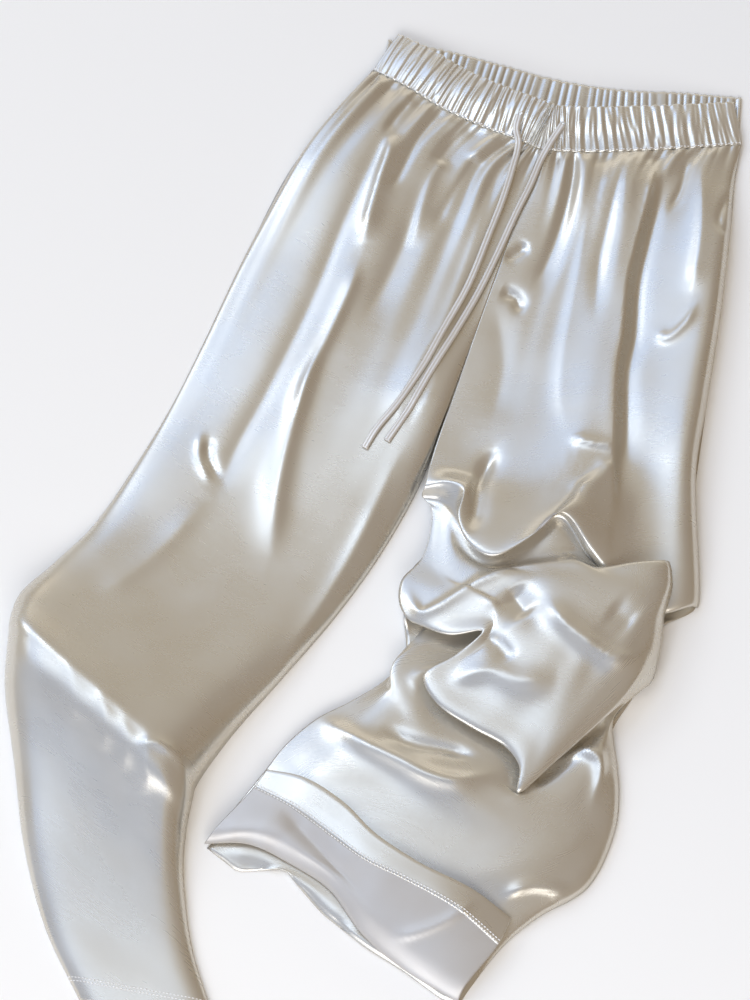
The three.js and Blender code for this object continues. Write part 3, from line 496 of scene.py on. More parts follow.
def waist_relief(along, distance):
    """Small gathers that fade below the casing, and longer folds that fan out from them."""
    gathers = gather_wave(along, FRONT_WAVE) * np.exp(-distance / GATHER_FADE)
    uneven = along + 0.02 * np.sin(11 * along) + 0.012 * np.sin(29 * along)
    length = 55 + 30 * np.sin(17 * along + 1) + 12 * np.sin(41 * along)
    fan = 2.6 * np.cos(28 * np.pi * uneven) * np.exp(-distance / np.maximum(length, 20))
    return gathers + fan * smoothstep(0, 12, distance)


def raise_folds(grid, down, places, sections, folds, waist_start, waist_end, seed):
    """Adds the waist's gathers, the folds and the soft swells, along the cloth's normals."""
    x, y = grid[..., 0], grid[..., 1]
    along = waist_start + (waist_end - waist_start) * places
    distance = np.linalg.norm(grid - grid[:1], axis=-1)
    relief = waist_relief(along[None, :], distance)
    settled = smoothstep(0, 20, distance)
    for route, height, left, right, widening, stretch in folds:
        first, last = (section_place(sections, name) for name in stretch)
        rows = np.where((down >= first) & (down <= last))[0]
        fade = smoothstep(0, 0.3, last - down[rows])
        if first > 0:
            fade *= smoothstep(0, 0.3, down[rows] - first)
        field = fold_field(x[rows], y[rows], route, height, left, right, widening)
        relief[rows] += field * fade[:, None] * settled[rows]
    relief += 0.5 * swells(x, y, seed) * settled
    relief *= crown(places, RELIEF_FLATNESS)[None, :]
    return grid + normals(grid) * relief[..., None]


def smooth_grid(grid, rounds):
    """Evens out the grid's rows and columns, with its borders held."""
    for _ in range(rounds):
        inner = (grid[:-2, 1:-1] + grid[2:, 1:-1] + grid[1:-1, :-2] + grid[1:-1, 2:]) / 4
        grid[1:-1, 1:-1] = 0.5 * grid[1:-1, 1:-1] + 0.5 * inner
    return grid


def right_front_grid(columns, spacing):
    """The right front's points in table mm, and its rows' places down the leg."""
    places = column_places(columns)
    across = places[:, None]
    sections = [waist_line(places * CENTRE_AT)]
    for index, (_, outer, inner, bow, height, lower) in enumerate(RIGHT_SECTIONS):
        plan = np.array(outer, float) * (1 - across) + np.array(inner, float) * across
        plan[:, 1] += bow * np.sin(np.pi * places)
        closed = crown(places, RIGHT_FLATNESS + HIP_FLATNESS * np.exp(-((index / HIP_SECTIONS) ** 2)))
        if index < len(CENTRE_FRONT) - 2:
            closed = np.where(places > 0.5, 1, closed)
        lean = lower * np.maximum(1 - places / 0.5, 0) ** 1.3
        z = PANEL_EDGE + (height - lean - PANEL_EDGE) * closed
        sections.append(np.column_stack([plan, z]))
    down = row_places(sections, spacing)
    grid = spline(np.array(sections), down / (len(sections) - 1))
    meet_centre(grid, down, places, -1)
    grid = smooth_grid(grid, 2)
    return raise_folds(grid, down, places, RIGHT_SECTIONS, RIGHT_FOLDS, 0, CENTRE_AT, 1.0), down


def left_front_grid(columns, spacing):
    """The left front's points in table mm, and its rows' places down the leg."""
    places = column_places(columns)
    closed = np.where(places > 0.5, crown(places, LEFT_FLATNESS), 1)
    sections = [waist_line(CENTRE_AT + places * (1 - CENTRE_AT))]
    for _, edge, stations in LEFT_SECTIONS:
        line = spline(stations, places)
        if edge <= LOW_EDGE:
            edge = PANEL_EDGE
        line[:, 2] = edge + (line[:, 2] - edge) * closed
        sections.append(line)
    down = row_places(sections, spacing)
    grid = spline(np.array(sections), down / (len(sections) - 1))
    meet_centre(grid, down, places, 0)
    grid = smooth_grid(grid, 3)
    return raise_folds(grid, down, places, LEFT_SECTIONS, LEFT_FOLDS, CENTRE_AT, 1, 2.0), down


def settle(grid):
    """Presses a front down under the ties' weight, and keeps it off the surface."""
    (low_x, low_y), (high_x, high_y) = UNDER_TIES
    for route in (RIGHT_TIE_ROUTE, LEFT_TIE_ROUTE):
        line = spline(np.array(route) / MM, np.linspace(0, 1, 160))
        near = ((grid[..., 0] > low_x) & (grid[..., 0] < high_x) & (grid[..., 1] > low_y)
                & (grid[..., 1] < high_y))
        points = grid[near]
        gap = np.hypot(points[:, None, 0] - line[:, 0], points[:, None, 1] - line[:, 1])
        nearest = gap.argmin(axis=1)
        limit = line[nearest, 2] - TIE_REST
        closeness = 1 - smoothstep(4, 11, gap[np.arange(len(points)), nearest])
        over = np.maximum(points[:, 2] - limit, 0)
        points[:, 2] -= over * closeness
        grid[near] = points
    grid[..., 2] = np.maximum(grid[..., 2], PANEL_EDGE)
    return grid


def surface_uv(grid):
    """Distances across and down the cloth, in metres, for patterns that follow the weave."""
    across = np.linalg.norm(np.diff(grid, axis=1), axis=-1)
    across = np.concatenate([np.zeros((len(grid), 1)), np.cumsum(across, axis=1)], axis=1)
    across -= across[:, across.shape[1] // 2][:, None]
    down = np.linalg.norm(np.diff(grid, axis=0), axis=-1)
    down = np.concatenate([np.zeros((1, grid.shape[1])), np.cumsum(down, axis=0)])
    return np.stack([across, down], axis=-1)


def cloth_object(name, grid, materials, thickness):
    """A sheet of cloth through a grid of points in metres, with its wall to the inside."""
    rows, columns = grid.shape[:2]
    bm = bmesh.new()
    bm.loops.layers.uv.new("UVMap")
    bmesh.ops.create_grid(bm, x_segments=columns - 1, y_segments=rows - 1, size=0.5, calc_uvs=True)
    mesh = bpy.data.meshes.new(name)
    bm.to_mesh(mesh)
    bm.free()
    count = len(mesh.vertices)
    flat = np.empty(count * 3)
    mesh.vertices.foreach_get("co", flat)
    flat = flat.reshape(-1, 3)
    column = np.rint((flat[:, 0] + 0.5) * (columns - 1)).astype(int)
    row = np.rint((0.5 - flat[:, 1]) * (rows - 1)).astype(int)
    mesh.vertices.foreach_set("co", grid[row, column].ravel())
    corner = np.empty(len(mesh.loops), int)
    mesh.loops.foreach_get("vertex_index", corner)
    values = surface_uv(grid)[row, column][corner]
    mesh.uv_layers[0].data.foreach_set("uv", values.ravel())
    mesh.polygons.foreach_set("use_smooth", [True] * len(mesh.polygons))
    mesh.update()
    for material in materials:
        mesh.materials.append(material)
    cloth = bpy.data.objects.new(name, mesh)
    bpy.context.scene.collection.objects.link(cloth)
    wall = cloth.modifiers.new("Cloth wall", "SOLIDIFY")
    wall.thickness = thickness
    wall.offset = -1
    wall.material_offset = len(materials) - 1
    return cloth


def mesh_object(name, bm, material):
    """Makes a finished bmesh a smooth object in the scene, with a UV map from its plan."""
    layer = bm.loops.layers.uv.new("UVMap")
    for face in bm.faces:
        for corner in face.loops:
            corner[layer].uv = (corner.vert.co.x, corner.vert.co.y)
    mesh = bpy.data.meshes.new(name)
    bm.to_mesh(mesh)
    bm.free()
    mesh.polygons.foreach_set("use_smooth", [True] * len(mesh.polygons))
    mesh.materials.append(material)
    piece = bpy.data.objects.new(name, mesh)
    bpy.context.scene.collection.objects.link(piece)
    return piece


class Value:
    """A number socket that takes part in sums, which add the Math nodes they need."""

    def __init__(self, shader, socket):
        self.shader = shader
        self.socket = socket

    def _math(self, operation, other):
        return self.shader.node("ShaderNodeMath", {"operation": operation}, self, other)

    def __add__(self, other):
        return self._math("ADD", other)

    __radd__ = __add__

    def __mul__(self, other):
        return self._math("MULTIPLY", other)

    __rmul__ = __mul__


class Shader:
    """A material's nodes, made one call at a time."""

    def __init__(self, name):
        self.material = bpy.data.materials.new(name)
        self.material.use_nodes = True
        self.tree = self.material.node_tree
        self.surface = self.tree.nodes["Principled BSDF"]

    @classmethod
    def of_tree(cls, tree):
        """The same helper on a tree that is already there, such as the world's."""
        shader = cls.__new__(cls)
        shader.tree = tree
        return shader

    def add(self, kind, settings, *inputs, **named):
        """A new node, with its settings made first and its inputs fed by order or by name."""
        node = self.tree.nodes.new(kind)
        for key, value in settings.items():
            setattr(node, key, value)
        live = [socket for socket in node.inputs if socket.enabled]
        for socket, value in zip(live, inputs):
            self.feed(socket, value)
        for key, value in named.items():
            self.feed(node.inputs[key.replace("_", " ")], value)
        return node

    def node(self, kind, settings, *inputs, **named):
        """The first live output of a new node."""
        node = self.add(kind, settings, *inputs, **named)
        return Value(self, next(socket for socket in node.outputs if socket.enabled))

    def feed(self, socket, value):
        if isinstance(value, Value):
            self.tree.links.new(value.socket, socket)
        else:
            socket.default_value = value

    def mix(self, share, first, second):
        return self.node("ShaderNodeMix", {"data_type": "RGBA"}, share, first, second)

    def scaled(self, vector, scale):
        return self.node("ShaderNodeMapping", {}, Vector=vector, Scale=scale)

    def noise(self, vector, scale, detail=2.0, distortion=0.0):
        return self.node("ShaderNodeTexNoise", {}, Vector=vector, Scale=scale, Detail=detail,
                         Roughness=0.5, Distortion=distortion)

    def between(self, value, low, high):
        """0 at low and 1 at high, with a soft step between."""
        return self.node("ShaderNodeMapRange", {"interpolation_type": "SMOOTHSTEP"},
                         value, low, high, 0.0, 1.0)

    def set(self, **values):
        for key, value in values.items():
            self.feed(self.surface.inputs[key.replace("_", " ")], value)

    def bump(self, height):
        """Bends the surface's normals by a height in metres."""
        normal = self.node("ShaderNodeBump", {}, Height=height, Distance=1.0, Strength=1.0)
        self.set(Normal=normal)


# Height of the weave's threads, in metres
WEAVE_DEPTH = 0.000002


def cloth_shader(name, colour, shade, rough, metallic, crinkle, sheen=0.0):
    """Satin or its wrong side: soft colour drift, uneven gloss, streaky crinkles and fine weave."""
    shader = Shader(name)
    uv = shader.node("ShaderNodeUVMap", {"uv_map": "UVMap"})
    drift = shader.noise(uv, scale=14.0)
    streaks = shader.noise(shader.scaled(uv, (55.0, 300.0, 1.0)), scale=1.0, distortion=0.6)
    patches = shader.between(shader.noise(uv, scale=18.0, detail=1.0), 0.36, 0.76)
    threads = shader.node("ShaderNodeTexWave", {"bands_direction": "Y"}, Vector=uv,
                          Scale=900.0, Distortion=1.0, Detail=1.0)
    tone = shader.mix(shader.between(drift, 0.3, 0.7), (*colour, 1), (*shade, 1))
    shader.set(Base_Color=tone, Metallic=metallic,
               Roughness=patches * 0.07 + streaks * 0.08 + (rough - 0.07),
               Sheen_Weight=sheen, Sheen_Roughness=0.4)
    shader.bump(streaks * (patches * 0.9 + 0.1) * crinkle + threads * WEAVE_DEPTH)
    return shader.material


# Filled by make_materials, under plain names
MATERIALS = {}


def make_materials(looks):
    """Makes the cloths and the thread from the looks that a user may change."""
    gloss = (looks.gloss_roughness, looks.lustre)
    MATERIALS["satin"] = cloth_shader(
        "Champagne satin", looks.satin, looks.satin_shade, *gloss, looks.crinkle * MM)
    MATERIALS["wrong side"] = cloth_shader(
        "Satin wrong side", looks.wrong_side, (0.52, 0.48, 0.43), 0.42, 0.3, 0.02 * MM, sheen=0.1)
    MATERIALS["casing"] = cloth_shader(
        "Casing satin", (0.74, 0.71, 0.64), (0.70, 0.66, 0.58), *gloss, 0.5 * looks.crinkle * MM)
    MATERIALS["tie"] = cloth_shader(
        "Tie satin", (0.74, 0.70, 0.64), (0.66, 0.61, 0.54), 0.34, 0.35, 0.1 * MM)
    MATERIALS["thread"] = cloth_shader(
        "Sewing thread", (0.92, 0.90, 0.87), (0.86, 0.83, 0.79), 0.4, 0.1, 0.02 * MM)


class TrouserSizes(bpy.types.PropertyGroup):
    """Sizes of the dressed trousers."""

    cloth_wall: bpy.props.FloatProperty(
        name="Cloth wall", description="Thickness of one layer of the satin",
        default=0.0008, unit="LENGTH")
    row_spacing: bpy.props.FloatProperty(
        name="Row spacing", description="Distance between rows of the cloth's grid, in mm",
        default=3.3)
    right_columns: bpy.props.IntProperty(
        name="Right columns", description="Strips across the right front", default=112)
    left_columns: bpy.props.IntProperty(
        name="Left columns", description="Strips across the left front", default=124)
    casing_height: bpy.props.FloatProperty(
        name="Casing height", description="Height of the elastic casing, in mm", default=43)
    gathers: bpy.props.IntProperty(
        name="Gathers", description="Gathers across the front of the casing", default=GATHERS)
    tie_width: bpy.props.FloatProperty(
        name="Tie width", description="Width of a flat tie, in mm", default=6)


class TrouserLooks(bpy.types.PropertyGroup):
    """Colours and finish of the satin."""

    satin: bpy.props.FloatVectorProperty(
        name="Satin", description="Colour of the satin's right side", subtype="COLOR",
        size=3, min=0, max=1, default=(0.66, 0.62, 0.54))
    satin_shade: bpy.props.FloatVectorProperty(
        name="Satin shade", description="Second tone that the satin drifts to", subtype="COLOR",
        size=3, min=0, max=1, default=(0.63, 0.58, 0.49))
    wrong_side: bpy.props.FloatVectorProperty(
        name="Wrong side", description="Colour of the satin's matte side", subtype="COLOR",
        size=3, min=0, max=1, default=(0.56, 0.535, 0.50))
    gloss_roughness: bpy.props.FloatProperty(
        name="Gloss roughness", description="Roughness of the satin's right side", default=0.29)
    lustre: bpy.props.FloatProperty(
        name="Lustre", description="How metallic the satin shines", default=0.65)
    crinkle: bpy.props.FloatProperty(
        name="Crinkle", description="Depth of the fine crinkles, in mm", default=0.03)


def aim(thing, target):
    """Turns a camera or a lamp towards a point."""
    thing.rotation_euler = (Vector(target) - thing.location).to_track_quat("-Z", "Y").to_euler()


def soft_box(name, location, size, power, colour):
    """A rectangular lamp that points at the garment."""
    lamp = bpy.data.lights.new(name, "AREA")
    lamp.shape = "RECTANGLE"
    lamp.size, lamp.size_y = size
    lamp.energy = power
    lamp.color = colour
    box = bpy.data.objects.new(name, lamp)
    box.location = location
    bpy.context.scene.collection.objects.link(box)
    aim(box, (0, 0, 0))


class StageOperator(bpy.types.Operator):
    """Sets the camera, the pale floor and the soft studio light."""

    bl_idname = "trousers.stage"
    bl_label = "Camera, floor and light"

    def execute(self, context):
        scene = context.scene
        self.camera(scene)
        self.floor()
        self.room(scene)
        for name, location, size, power, colour in SOFT_BOXES:
            soft_box(name, location, size, power, colour)
        scene.view_settings.view_transform = "Standard"
        return {"FINISHED"}

    def camera(self, scene):
        """Looks down at the layout from the photo's angle."""
        camera = bpy.data.cameras.new("Camera")
        camera.sensor_fit = "VERTICAL"
        camera.sensor_height = SENSOR_HEIGHT
        camera.lens = SENSOR_HEIGHT * LENS_PER_DISTANCE * CAMERA_DISTANCE / MM / FRAME_HEIGHT_PX
        camera.clip_end = 50
        eye = bpy.data.objects.new("Camera", camera)
        eye.location = Vector(SHIFT) + CAMERA_DISTANCE * Vector(
            (0, -math.cos(CAMERA_ELEVATION), math.sin(CAMERA_ELEVATION)))
        scene.collection.objects.link(eye)
        aim(eye, SHIFT)
        scene.camera = eye

    def floor(self):
        """A wide plain surface under the garment."""
        bm = bmesh.new()
        bmesh.ops.create_grid(bm, x_segments=1, y_segments=1, size=30)
        shader = Shader("Pale floor")
        shader.set(Base_Color=(0.97, 0.935, 0.87, 1), Roughness=0.9, Specular_IOR_Level=0.1)
        floor = mesh_object("floor", bm, shader.material)

    def room(self, scene):
        """A warm room with a dark side, a cool corner, a window and its lighter sill."""
        world = bpy.data.worlds.new("Studio")
        world.use_nodes = True
        room = Shader.of_tree(world.node_tree)
        split = room.add("ShaderNodeSeparateXYZ", {}, room.node("ShaderNodeTexCoord", {}))
        sideways, forwards, upwards = (Value(room, split.outputs[axis]) for axis in "XYZ")
        dark_side = room.between(sideways, 0.08, 0.42) * room.between(forwards, 0.75, 0.5)
        corner = room.between(forwards, 0.14, -0.08) * room.between(sideways, 0.14, 0.0)
        window = (room.between(sideways, -0.13, -0.2) * room.between(sideways, -0.75, -0.6)
                  * room.between(forwards, -0.02, 0.11) * room.between(forwards, 0.85, 0.65)
                  * room.between(upwards, 0.2, 0.4))
        sill = (room.between(sideways, 0.0, -0.08) * room.between(sideways, -0.46, -0.38)
                * room.between(forwards, 0.03, 0.11) * room.between(forwards, 0.35, 0.27))
        light = room.mix(dark_side, WARM_WALLS, DARK_SIDE)
        for share, colour in ((corner, COOL_CORNER), (window, WINDOW_LIGHT), (sill, SILL_LIGHT)):
            light = room.mix(share, light, colour)
        room.feed(world.node_tree.nodes["Background"].inputs["Color"], light)
        scene.world = world


def tie_profile(width):
    """Section of a flat tie: two rolled edges with a groove between, as (sideways, up)."""
    angle = np.linspace(0, 2 * np.pi, 24, endpoint=False)
    sideways = 0.5 * width * np.cos(angle)
    hump = 0.62 + 0.5 * np.sin(np.pi * np.clip(np.abs(sideways) / (0.5 * width), 0, 1)) ** 1.5
    up = np.sin(angle) * hump
    return sideways, up


def tie_object(name, route, width):
    """A flat tube along a route in metres."""
    line = spline(np.array(route) / MM, np.linspace(0, 1, 240))
    along = tangents(line)
    side = np.cross(along, (0, 0, 1))
    side /= np.linalg.norm(side, axis=-1, keepdims=True)
    up = np.cross(side, along)
    sideways, rise = tie_profile(width)
    bm = bmesh.new()
    bmesh.ops.create_circle(bm, segments=len(sideways), radius=1, cap_ends=True)
    bm.verts.ensure_lookup_table()
    loop = list(bm.edges)
    for vert, across, lift in zip(bm.verts, sideways, rise):
        vert.co = Vector(place(line[0] + side[0] * across + up[0] * lift))
    for ring in range(1, len(line)):
        grown = bmesh.ops.extrude_edge_only(bm, edges=loop)["geom"]
        verts = [item for item in grown if isinstance(item, bmesh.types.BMVert)]
        loop = [item for item in grown if isinstance(item, bmesh.types.BMEdge)
                and item.verts[0] in verts and item.verts[1] in verts]
        old_frame = Matrix([side[ring - 1], up[ring - 1], along[ring - 1]]).transposed()
        new_frame = Matrix([side[ring], up[ring], along[ring]]).transposed()
        turn = new_frame @ old_frame.inverted()
        old_centre, new_centre = Vector(place(line[ring - 1])), Vector(place(line[ring]))
        for vert in verts:
            vert.co = turn @ (vert.co - old_centre) + new_centre
    bmesh.ops.contextual_create(bm, geom=loop)
    bmesh.ops.recalc_face_normals(bm, faces=bm.faces)
    tie = mesh_object(name, bm, MATERIALS["tie"])
    length = float(np.linalg.norm(np.diff(line, axis=0), axis=1).sum()) * MM
    return tie, [tuple(place(point)) for point in line[::4]] + [tuple(place(line[-1]))], length


class TiesOperator(bpy.types.Operator):
    """Lays the two drawstring ties over the front."""

    bl_idname = "trousers.ties"
    bl_label = "Drawstring ties"

    def execute(self, context):
        sizes = context.scene.trouser_sizes
        for name, node, route in (("right_drawstring", "tie_right", RIGHT_TIE_ROUTE),
                                  ("left_drawstring", "tie_left", LEFT_TIE_ROUTE)):
            tie, path, length = tie_object(name, route, sizes.tie_width)
            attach(tie, "root")
            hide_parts(node)
        return {"FINISHED"}


def stitch_row(name, line, lifts, stitch, lean=0.0):
    """A row of short stitches lying on a line in table mm, each turned by lean from it."""
    length, spacing, radius = stitch
    steps = np.linalg.norm(np.diff(line, axis=0), axis=1)
    travelled = np.concatenate([[0], np.cumsum(steps)])
    count = int(travelled[-1] // spacing)
    spots = (np.arange(count) + 0.5) * travelled[-1] / count
    centre = np.column_stack([np.interp(spots, travelled, line[:, k]) for k in range(3)])
    along = tangents(centre)
    up = np.column_stack([np.interp(spots, travelled, lifts[:, k]) for k in range(3)])
    up /= np.linalg.norm(up, axis=1, keepdims=True)
    side = np.cross(up, along)
    along = along * math.cos(lean) + side * math.sin(lean)
    side = np.cross(up, along)
    bm = bmesh.new()
    for point, x, y, z in zip(place(centre), along, side, up):
        ball = bmesh.ops.create_uvsphere(bm, u_segments=8, v_segments=5, radius=1)["verts"]
        shape = Matrix([x * length / 2 * MM, y * radius * MM, z * radius * MM]).transposed()
        for vert in ball:
            vert.co = shape @ vert.co + Vector(point)
    return mesh_object(name, bm, MATERIALS["thread"])


def line_on(grid, down, where, out):
    """A line across a panel at a place down it, so far out from the cloth, and its normals."""
    index = np.interp(where, down, np.arange(len(down)))
    low = min(int(index), len(down) - 2)
    share = index - low
    faces = normals(grid)
    points = grid[low] * (1 - share) + grid[low + 1] * share
    lifts = faces[low] * (1 - share) + faces[low + 1] * share
    return points + lifts * out, lifts


def hem_allowance(grid, down, start, end, wall):
    """The strip turned to the wrong side at a hem, with its folded edge."""
    rows = [line_on(grid, down, where, -(wall + 0.25))[0] for where in np.linspace(start, end, 9)]
    last, lifts = line_on(grid, down, end, 0)
    onward = last - line_on(grid, down, end - 0.05, 0)[0]
    onward /= np.linalg.norm(onward, axis=1, keepdims=True)
    for out, reach in ((-wall, 0.5), (-0.4, 0.8), (0.2, 0.5), (0.3, -1.5)):
        rows.append(last + lifts * out + onward * reach)
    return np.array(rows)[:, ::-1]


def hem_stitches(side, grid, down, places, out, facing, stitch):
    """Two stitch rows across a panel, so far out from it, turned out (1) or to its wrong side (-1)."""
    rows = []
    for index, where in enumerate(places):
        line, lifts = line_on(grid, down, where, out)
        name = f"{side}_hem_stitches_{index + 1}"
        rows.append(stitch_row(name, line, facing * lifts, stitch))
    return rows


def add_detail(piece, node):
    """Parents a piece to the root body and hides the CAD node that it stands for."""
    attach(piece, "root")
    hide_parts(node)


def finish_panel(cloth, node, details=()):
    """Parents a sheet of cloth, with the sewing that is on it, to the root body, and hides their CAD
    node.
    """
    add_detail(cloth, node)
    for piece in details:
        add_detail(piece, node)


class FrontsOperator(bpy.types.Operator):
    """Makes the two front panels with their folds."""

    bl_idname = "trousers.fronts"
    bl_label = "Front panels"

    def execute(self, context):
        sizes = context.scene.trouser_sizes
        cloth = (MATERIALS["satin"], MATERIALS["wrong side"])
        wall = sizes.cloth_wall / MM
        grid, down = right_front_grid(sizes.right_columns, sizes.row_spacing)
        grid = settle(grid)
        panel = cloth_object("right_front_cloth", place(grid), cloth, sizes.cloth_wall)
        ankle = section_place(RIGHT_SECTIONS, "ankle")
        places = [ankle + share for share in RIGHT_STITCH_PLACES]
        rows = hem_stitches("right", grid, down, places, 0.1, 1, RIGHT_HEM_STITCH)
        finish_panel(panel, "right_front", rows)
        grid, down = left_front_grid(sizes.left_columns, sizes.row_spacing)
        grid = settle(grid)
        panel = cloth_object("left_front_cloth", place(grid), cloth, sizes.cloth_wall)
        stitching = section_place(LEFT_SECTIONS, "hem stitching")
        strip = hem_allowance(grid, down, stitching, section_place(LEFT_SECTIONS, "hem edge"), wall)
        rows = [cloth_object("hem_allowance", place(strip), (MATERIALS["satin"],) * 2, 0.0004)]
        places = [stitching + share for share in LEFT_STITCH_PLACES]
        rows += hem_stitches("left", grid, down, places, -(wall + 0.6), -1, LEFT_HEM_STITCH)
        finish_panel(panel, "left_front", rows)
        return {"FINISHED"}


def towards_waist(line):
    """Left normals of a waist line in plan."""
    along = tangents(line)
    left = np.stack([-along[:, 1], along[:, 0], np.zeros(len(along))], axis=1)
    return left / np.linalg.norm(left, axis=1, keepdims=True)


def casing_rows(height):
    """Rows up the casing's face, over its rolled edge and down inside: rise, drop and share."""
    face = height - CASING_ROLL
    rows = [(*CASING_TUCK, 0.0)]
    for share in np.linspace(0, 1, 34):
        rows.append((share * face, 0.0, share))
    for turn in np.linspace(0, np.pi, 8)[1:]:
        rows.append((face + CASING_ROLL * math.sin(turn), CASING_ROLL * (math.cos(turn) - 1), 1.0))
    for share in np.linspace(1, 0.1, 14)[1:]:
        rows.append((share * face, -2 * CASING_ROLL, share))
    return rows


def front_casing_grid(along, height, gathers):
    """The front casing's points in table mm, and the direction up it at each column."""
    seam = spline(WAIST_SEAM, along)
    upwards = towards_waist(seam)
    middle = np.sin(np.pi * along)
    grid = []
    for rise, drop, share in casing_rows(height):
        point = seam + upwards * (rise - CASING_OVERLAP)
        wander = along + 0.003 * math.sin(3 * share) * np.sin(29 * along)
        wave = gather_wave(wander, FRONT_WAVE, gathers)
        stray = along + 0.005 * np.sin(31 * along + 2 * share)
        fine = (0.5 - 0.35 * share) * np.cos(2 * np.pi * 71 * stray + 4 * share)
        fine += 0.3 * share * np.cos(2 * np.pi * 88 * stray - 5 * share)
        puff = CASING_PUFF * math.sin(math.pi * min(max(share, 0.03), 0.97))
        lift = MOUTH_RISE * share * middle
        lift += (puff + FRONT_GATHER_HEIGHT * (wave + fine)) * middle ** 0.3
        point[:, 2] += lift + drop
        point += upwards * (0.5 * wave[:, None] * share ** 4)
        grid.append(point)
    return np.array(grid)[::-1], upwards


def back_casing_grid(along, height, gathers):
    """The back casing's points in table mm."""
    top = spline(BACK_BAND_TOP, along)
    down = -towards_waist(top)
    wave = gather_wave(along, BACK_WAVE, gathers)
    grid = []
    for share in np.linspace(0, 1, 30):
        point = top + down * (share * height)
        edge = 1 - (1 - min(share * height / 2, 1)) ** 2
        point[:, 2] = FLOOR_GAP + BACK_CASING_PUFF * math.sqrt(edge) + BACK_GATHER_HEIGHT * wave
        point -= down * (0.5 * wave[:, None] * (1 - share) ** 6)
        grid.append(point)
    return np.array(grid)


def nearest_point(grid, x, y):
    """Row and column of a grid's point nearest to a place in plan."""
    return np.unravel_index(np.hypot(grid[..., 0] - x, grid[..., 1] - y).argmin(), grid.shape[:2])


def buttonhole(side, grid, upwards, lifts, start):
    """A ring of short stitches on the casing, where a tie comes out."""
    row, column = nearest_point(grid, start[0], start[1])
    turns = np.linspace(0, 2 * np.pi, 40)
    away = upwards[column] * BUTTONHOLE_HALF
    beside = np.cross(lifts[row, column], away) * 0.5
    ring = grid[row, column] + np.outer(np.sin(turns), away) + np.outer(np.cos(turns), beside)
    ring[:, 2] = [grid[nearest_point(grid, x, y)][2] + 0.3 for x, y, _ in ring]
    ups = np.tile(lifts[row, column], (len(ring), 1))
    return stitch_row(f"{side}_buttonhole", ring, ups, BUTTONHOLE_STITCH, math.pi / 2)


class CasingOperator(bpy.types.Operator):
    """Makes the gathered casing, front and back."""

    bl_idname = "trousers.casing"
    bl_label = "Elastic casing"

    def execute(self, context):
        sizes = context.scene.trouser_sizes
        shape = (np.linspace(0, 1, sizes.gathers * 11 + 1), sizes.casing_height, sizes.gathers)
        cloth = (MATERIALS["casing"],) * 2
        grid, upwards = front_casing_grid(*shape)
        band = cloth_object("front_casing", place(grid), cloth, sizes.cloth_wall)
        lifts = normals(grid)
        rows = [stitch_row("casing_stitches", grid[-3] + lifts[-3] * 0.3, lifts[-3], CASING_STITCH)]
        for side, route in (("right", RIGHT_TIE_ROUTE), ("left", LEFT_TIE_ROUTE)):
            rows.append(buttonhole(side, grid, upwards, lifts, np.array(route[0]) / MM))
        finish_panel(band, "waistband_front",
                     details=rows)
        band = cloth_object("back_casing", place(back_casing_grid(*shape)), cloth, sizes.cloth_wall)
        finish_panel(band, "waistband_back")
        return {"FINISHED"}


def height_under(cover, grid, highest):
    """The height just under the cover cloth at each point of a plan grid."""
    cell, bare = 4.0, 99.0
    low = cover.reshape(-1, 3).min(axis=0)[:2] - 20
    high = cover.reshape(-1, 3).max(axis=0)[:2] + 20
    size = np.ceil((high - low) / cell).astype(int) + 1
    lowest = np.full(size, bare)
    spots = ((cover.reshape(-1, 3)[:, :2] - low) / cell).astype(int)
    np.minimum.at(lowest, (spots[:, 0], spots[:, 1]), cover.reshape(-1, 3)[:, 2])
    for _ in range(2):
        padded = np.pad(lowest, 1, constant_values=bare)
        lowest = np.minimum.reduce([padded[i:i + size[0], j:j + size[1]]
                                    for i in range(3) for j in range(3)])
    lowest[lowest == bare] = 0
    spots = np.clip(((grid[..., :2] - low) / cell).astype(int), 0, size - 1)
    return np.clip(lowest[spots[..., 0], spots[..., 1]] - LAYER_CLEARANCE, FLOOR_GAP, highest)


def back_sections(places, waist_start, ends, casing_height):
    """Flat sections of a back panel, from the back casing's lower edge down."""
    along = np.linspace(0, 1, 200)
    top = spline(BACK_BAND_TOP, along)
    seam = top - towards_waist(top) * casing_height
    spots = waist_start + places * 0.5
    sections = [np.column_stack([np.interp(spots, along, seam[:, k]) for k in range(3)])]
    for first, last in ends:
        line = np.outer(1 - places, first) + np.outer(places, last)
        sections.append(np.column_stack([line, np.zeros(len(places))]))
    return sections


def right_back_grid(places, casing_height):
    """The right back's points in table mm, flat on the floor."""
    ends = [(outer, inner) for _, outer, inner, _, _, _ in RIGHT_SECTIONS[1:]]
    sections = back_sections(places, 0, ends, casing_height)
    down = row_places(sections, 8)
    grid = spline(np.array(sections), down / (len(sections) - 1))
    grid[..., 2] = BACK_HEIGHT
    return grid


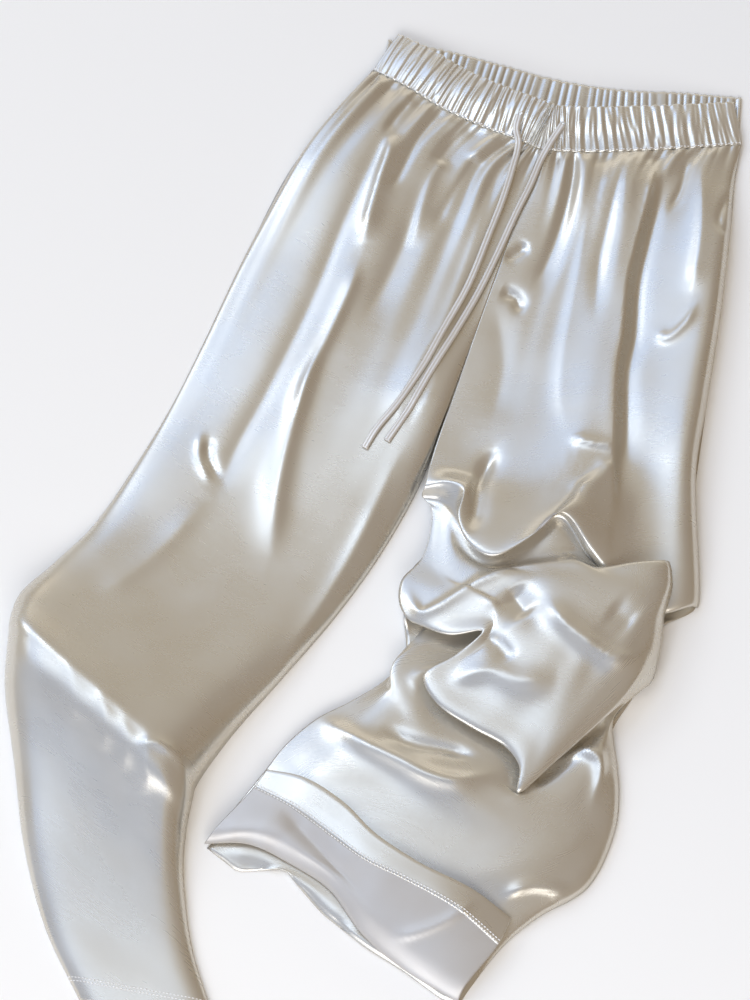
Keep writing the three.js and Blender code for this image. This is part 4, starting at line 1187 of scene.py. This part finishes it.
def left_back_grid(places, casing_height):
    """The left back's points in table mm, heaped under the front's folds, with a rim on the floor."""
    sections = back_sections(places, 0.5, LEFT_BACK_SECTIONS, casing_height)
    end = np.array(LEFT_BACK_END)
    sections[-1][:, 1] = np.interp(sections[-1][:, 0], end[:, 0], end[:, 1])
    down = row_places(sections, 5)
    grid = spline(np.array(sections), down / (len(sections) - 1))
    cover = left_front_grid(60, 6)[0]
    heaped = 1 - smoothstep(LAYERS_FULL_BELOW, LAYERS_FLAT_ABOVE, grid[..., 1])
    grid[..., 2] = height_under(cover, grid, FLOOR_GAP + LAYERS_HIGHEST * heaped)
    grid = smooth_grid(grid, 3)
    grid = np.concatenate([grid[:, :1], grid, grid[:, -1:]], axis=1)
    grid = np.concatenate([grid, grid[-1:]])
    grid[:, (0, -1), 2] = RIM_HEIGHT
    grid[-1, :, 2] = RIM_HEIGHT
    return grid


class BacksOperator(bpy.types.Operator):
    """Makes the back panels, flat on the floor, and the layers inside the folded leg."""

    bl_idname = "trousers.backs"
    bl_label = "Back panels"

    def execute(self, context):
        sizes = context.scene.trouser_sizes
        places = column_places(40)
        grid = right_back_grid(places, sizes.casing_height)
        cloth = (MATERIALS["wrong side"], MATERIALS["satin"])
        panel = cloth_object("right_back_cloth", place(grid), cloth, sizes.cloth_wall)
        finish_panel(panel, "right_back")
        grid = left_back_grid(places, sizes.casing_height)
        cloth = (MATERIALS["satin"],) * 2
        panel = cloth_object("left_back_cloth", place(grid), cloth, sizes.cloth_wall)
        finish_panel(panel, "left_back")
        return {"FINISHED"}


class TrousersPanel(bpy.types.Panel):
    """Lists the steps that dress the trousers."""

    bl_idname = "VIEW3D_PT_trousers"
    bl_label = "Wide-leg trousers"
    bl_space_type = "VIEW_3D"
    bl_region_type = "UI"
    bl_category = "Trousers"

    def draw(self, context):
        for step in STEPS:
            self.layout.operator(step.bl_idname)


STEPS = [StageOperator, TiesOperator, CasingOperator, FrontsOperator, BacksOperator]
CLASSES = [TrouserSizes, TrouserLooks, *STEPS, TrousersPanel]


def register():
    """Makes the sizes, looks, steps and panel known to Blender."""
    for cls in CLASSES:
        bpy.utils.register_class(cls)
    bpy.types.Scene.trouser_sizes = bpy.props.PointerProperty(type=TrouserSizes)
    bpy.types.Scene.trouser_looks = bpy.props.PointerProperty(type=TrouserLooks)


def unregister():
    del bpy.types.Scene.trouser_looks
    del bpy.types.Scene.trouser_sizes
    for cls in reversed(CLASSES):
        bpy.utils.unregister_class(cls)


def main():
    """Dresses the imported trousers, one step after the other."""
    register()
    make_materials(bpy.context.scene.trouser_looks)
    bpy.ops.trousers.stage()
    bpy.ops.trousers.ties()
    bpy.ops.trousers.casing()
    bpy.ops.trousers.fronts()
    bpy.ops.trousers.backs()


if __name__ == "__main__":
    main()
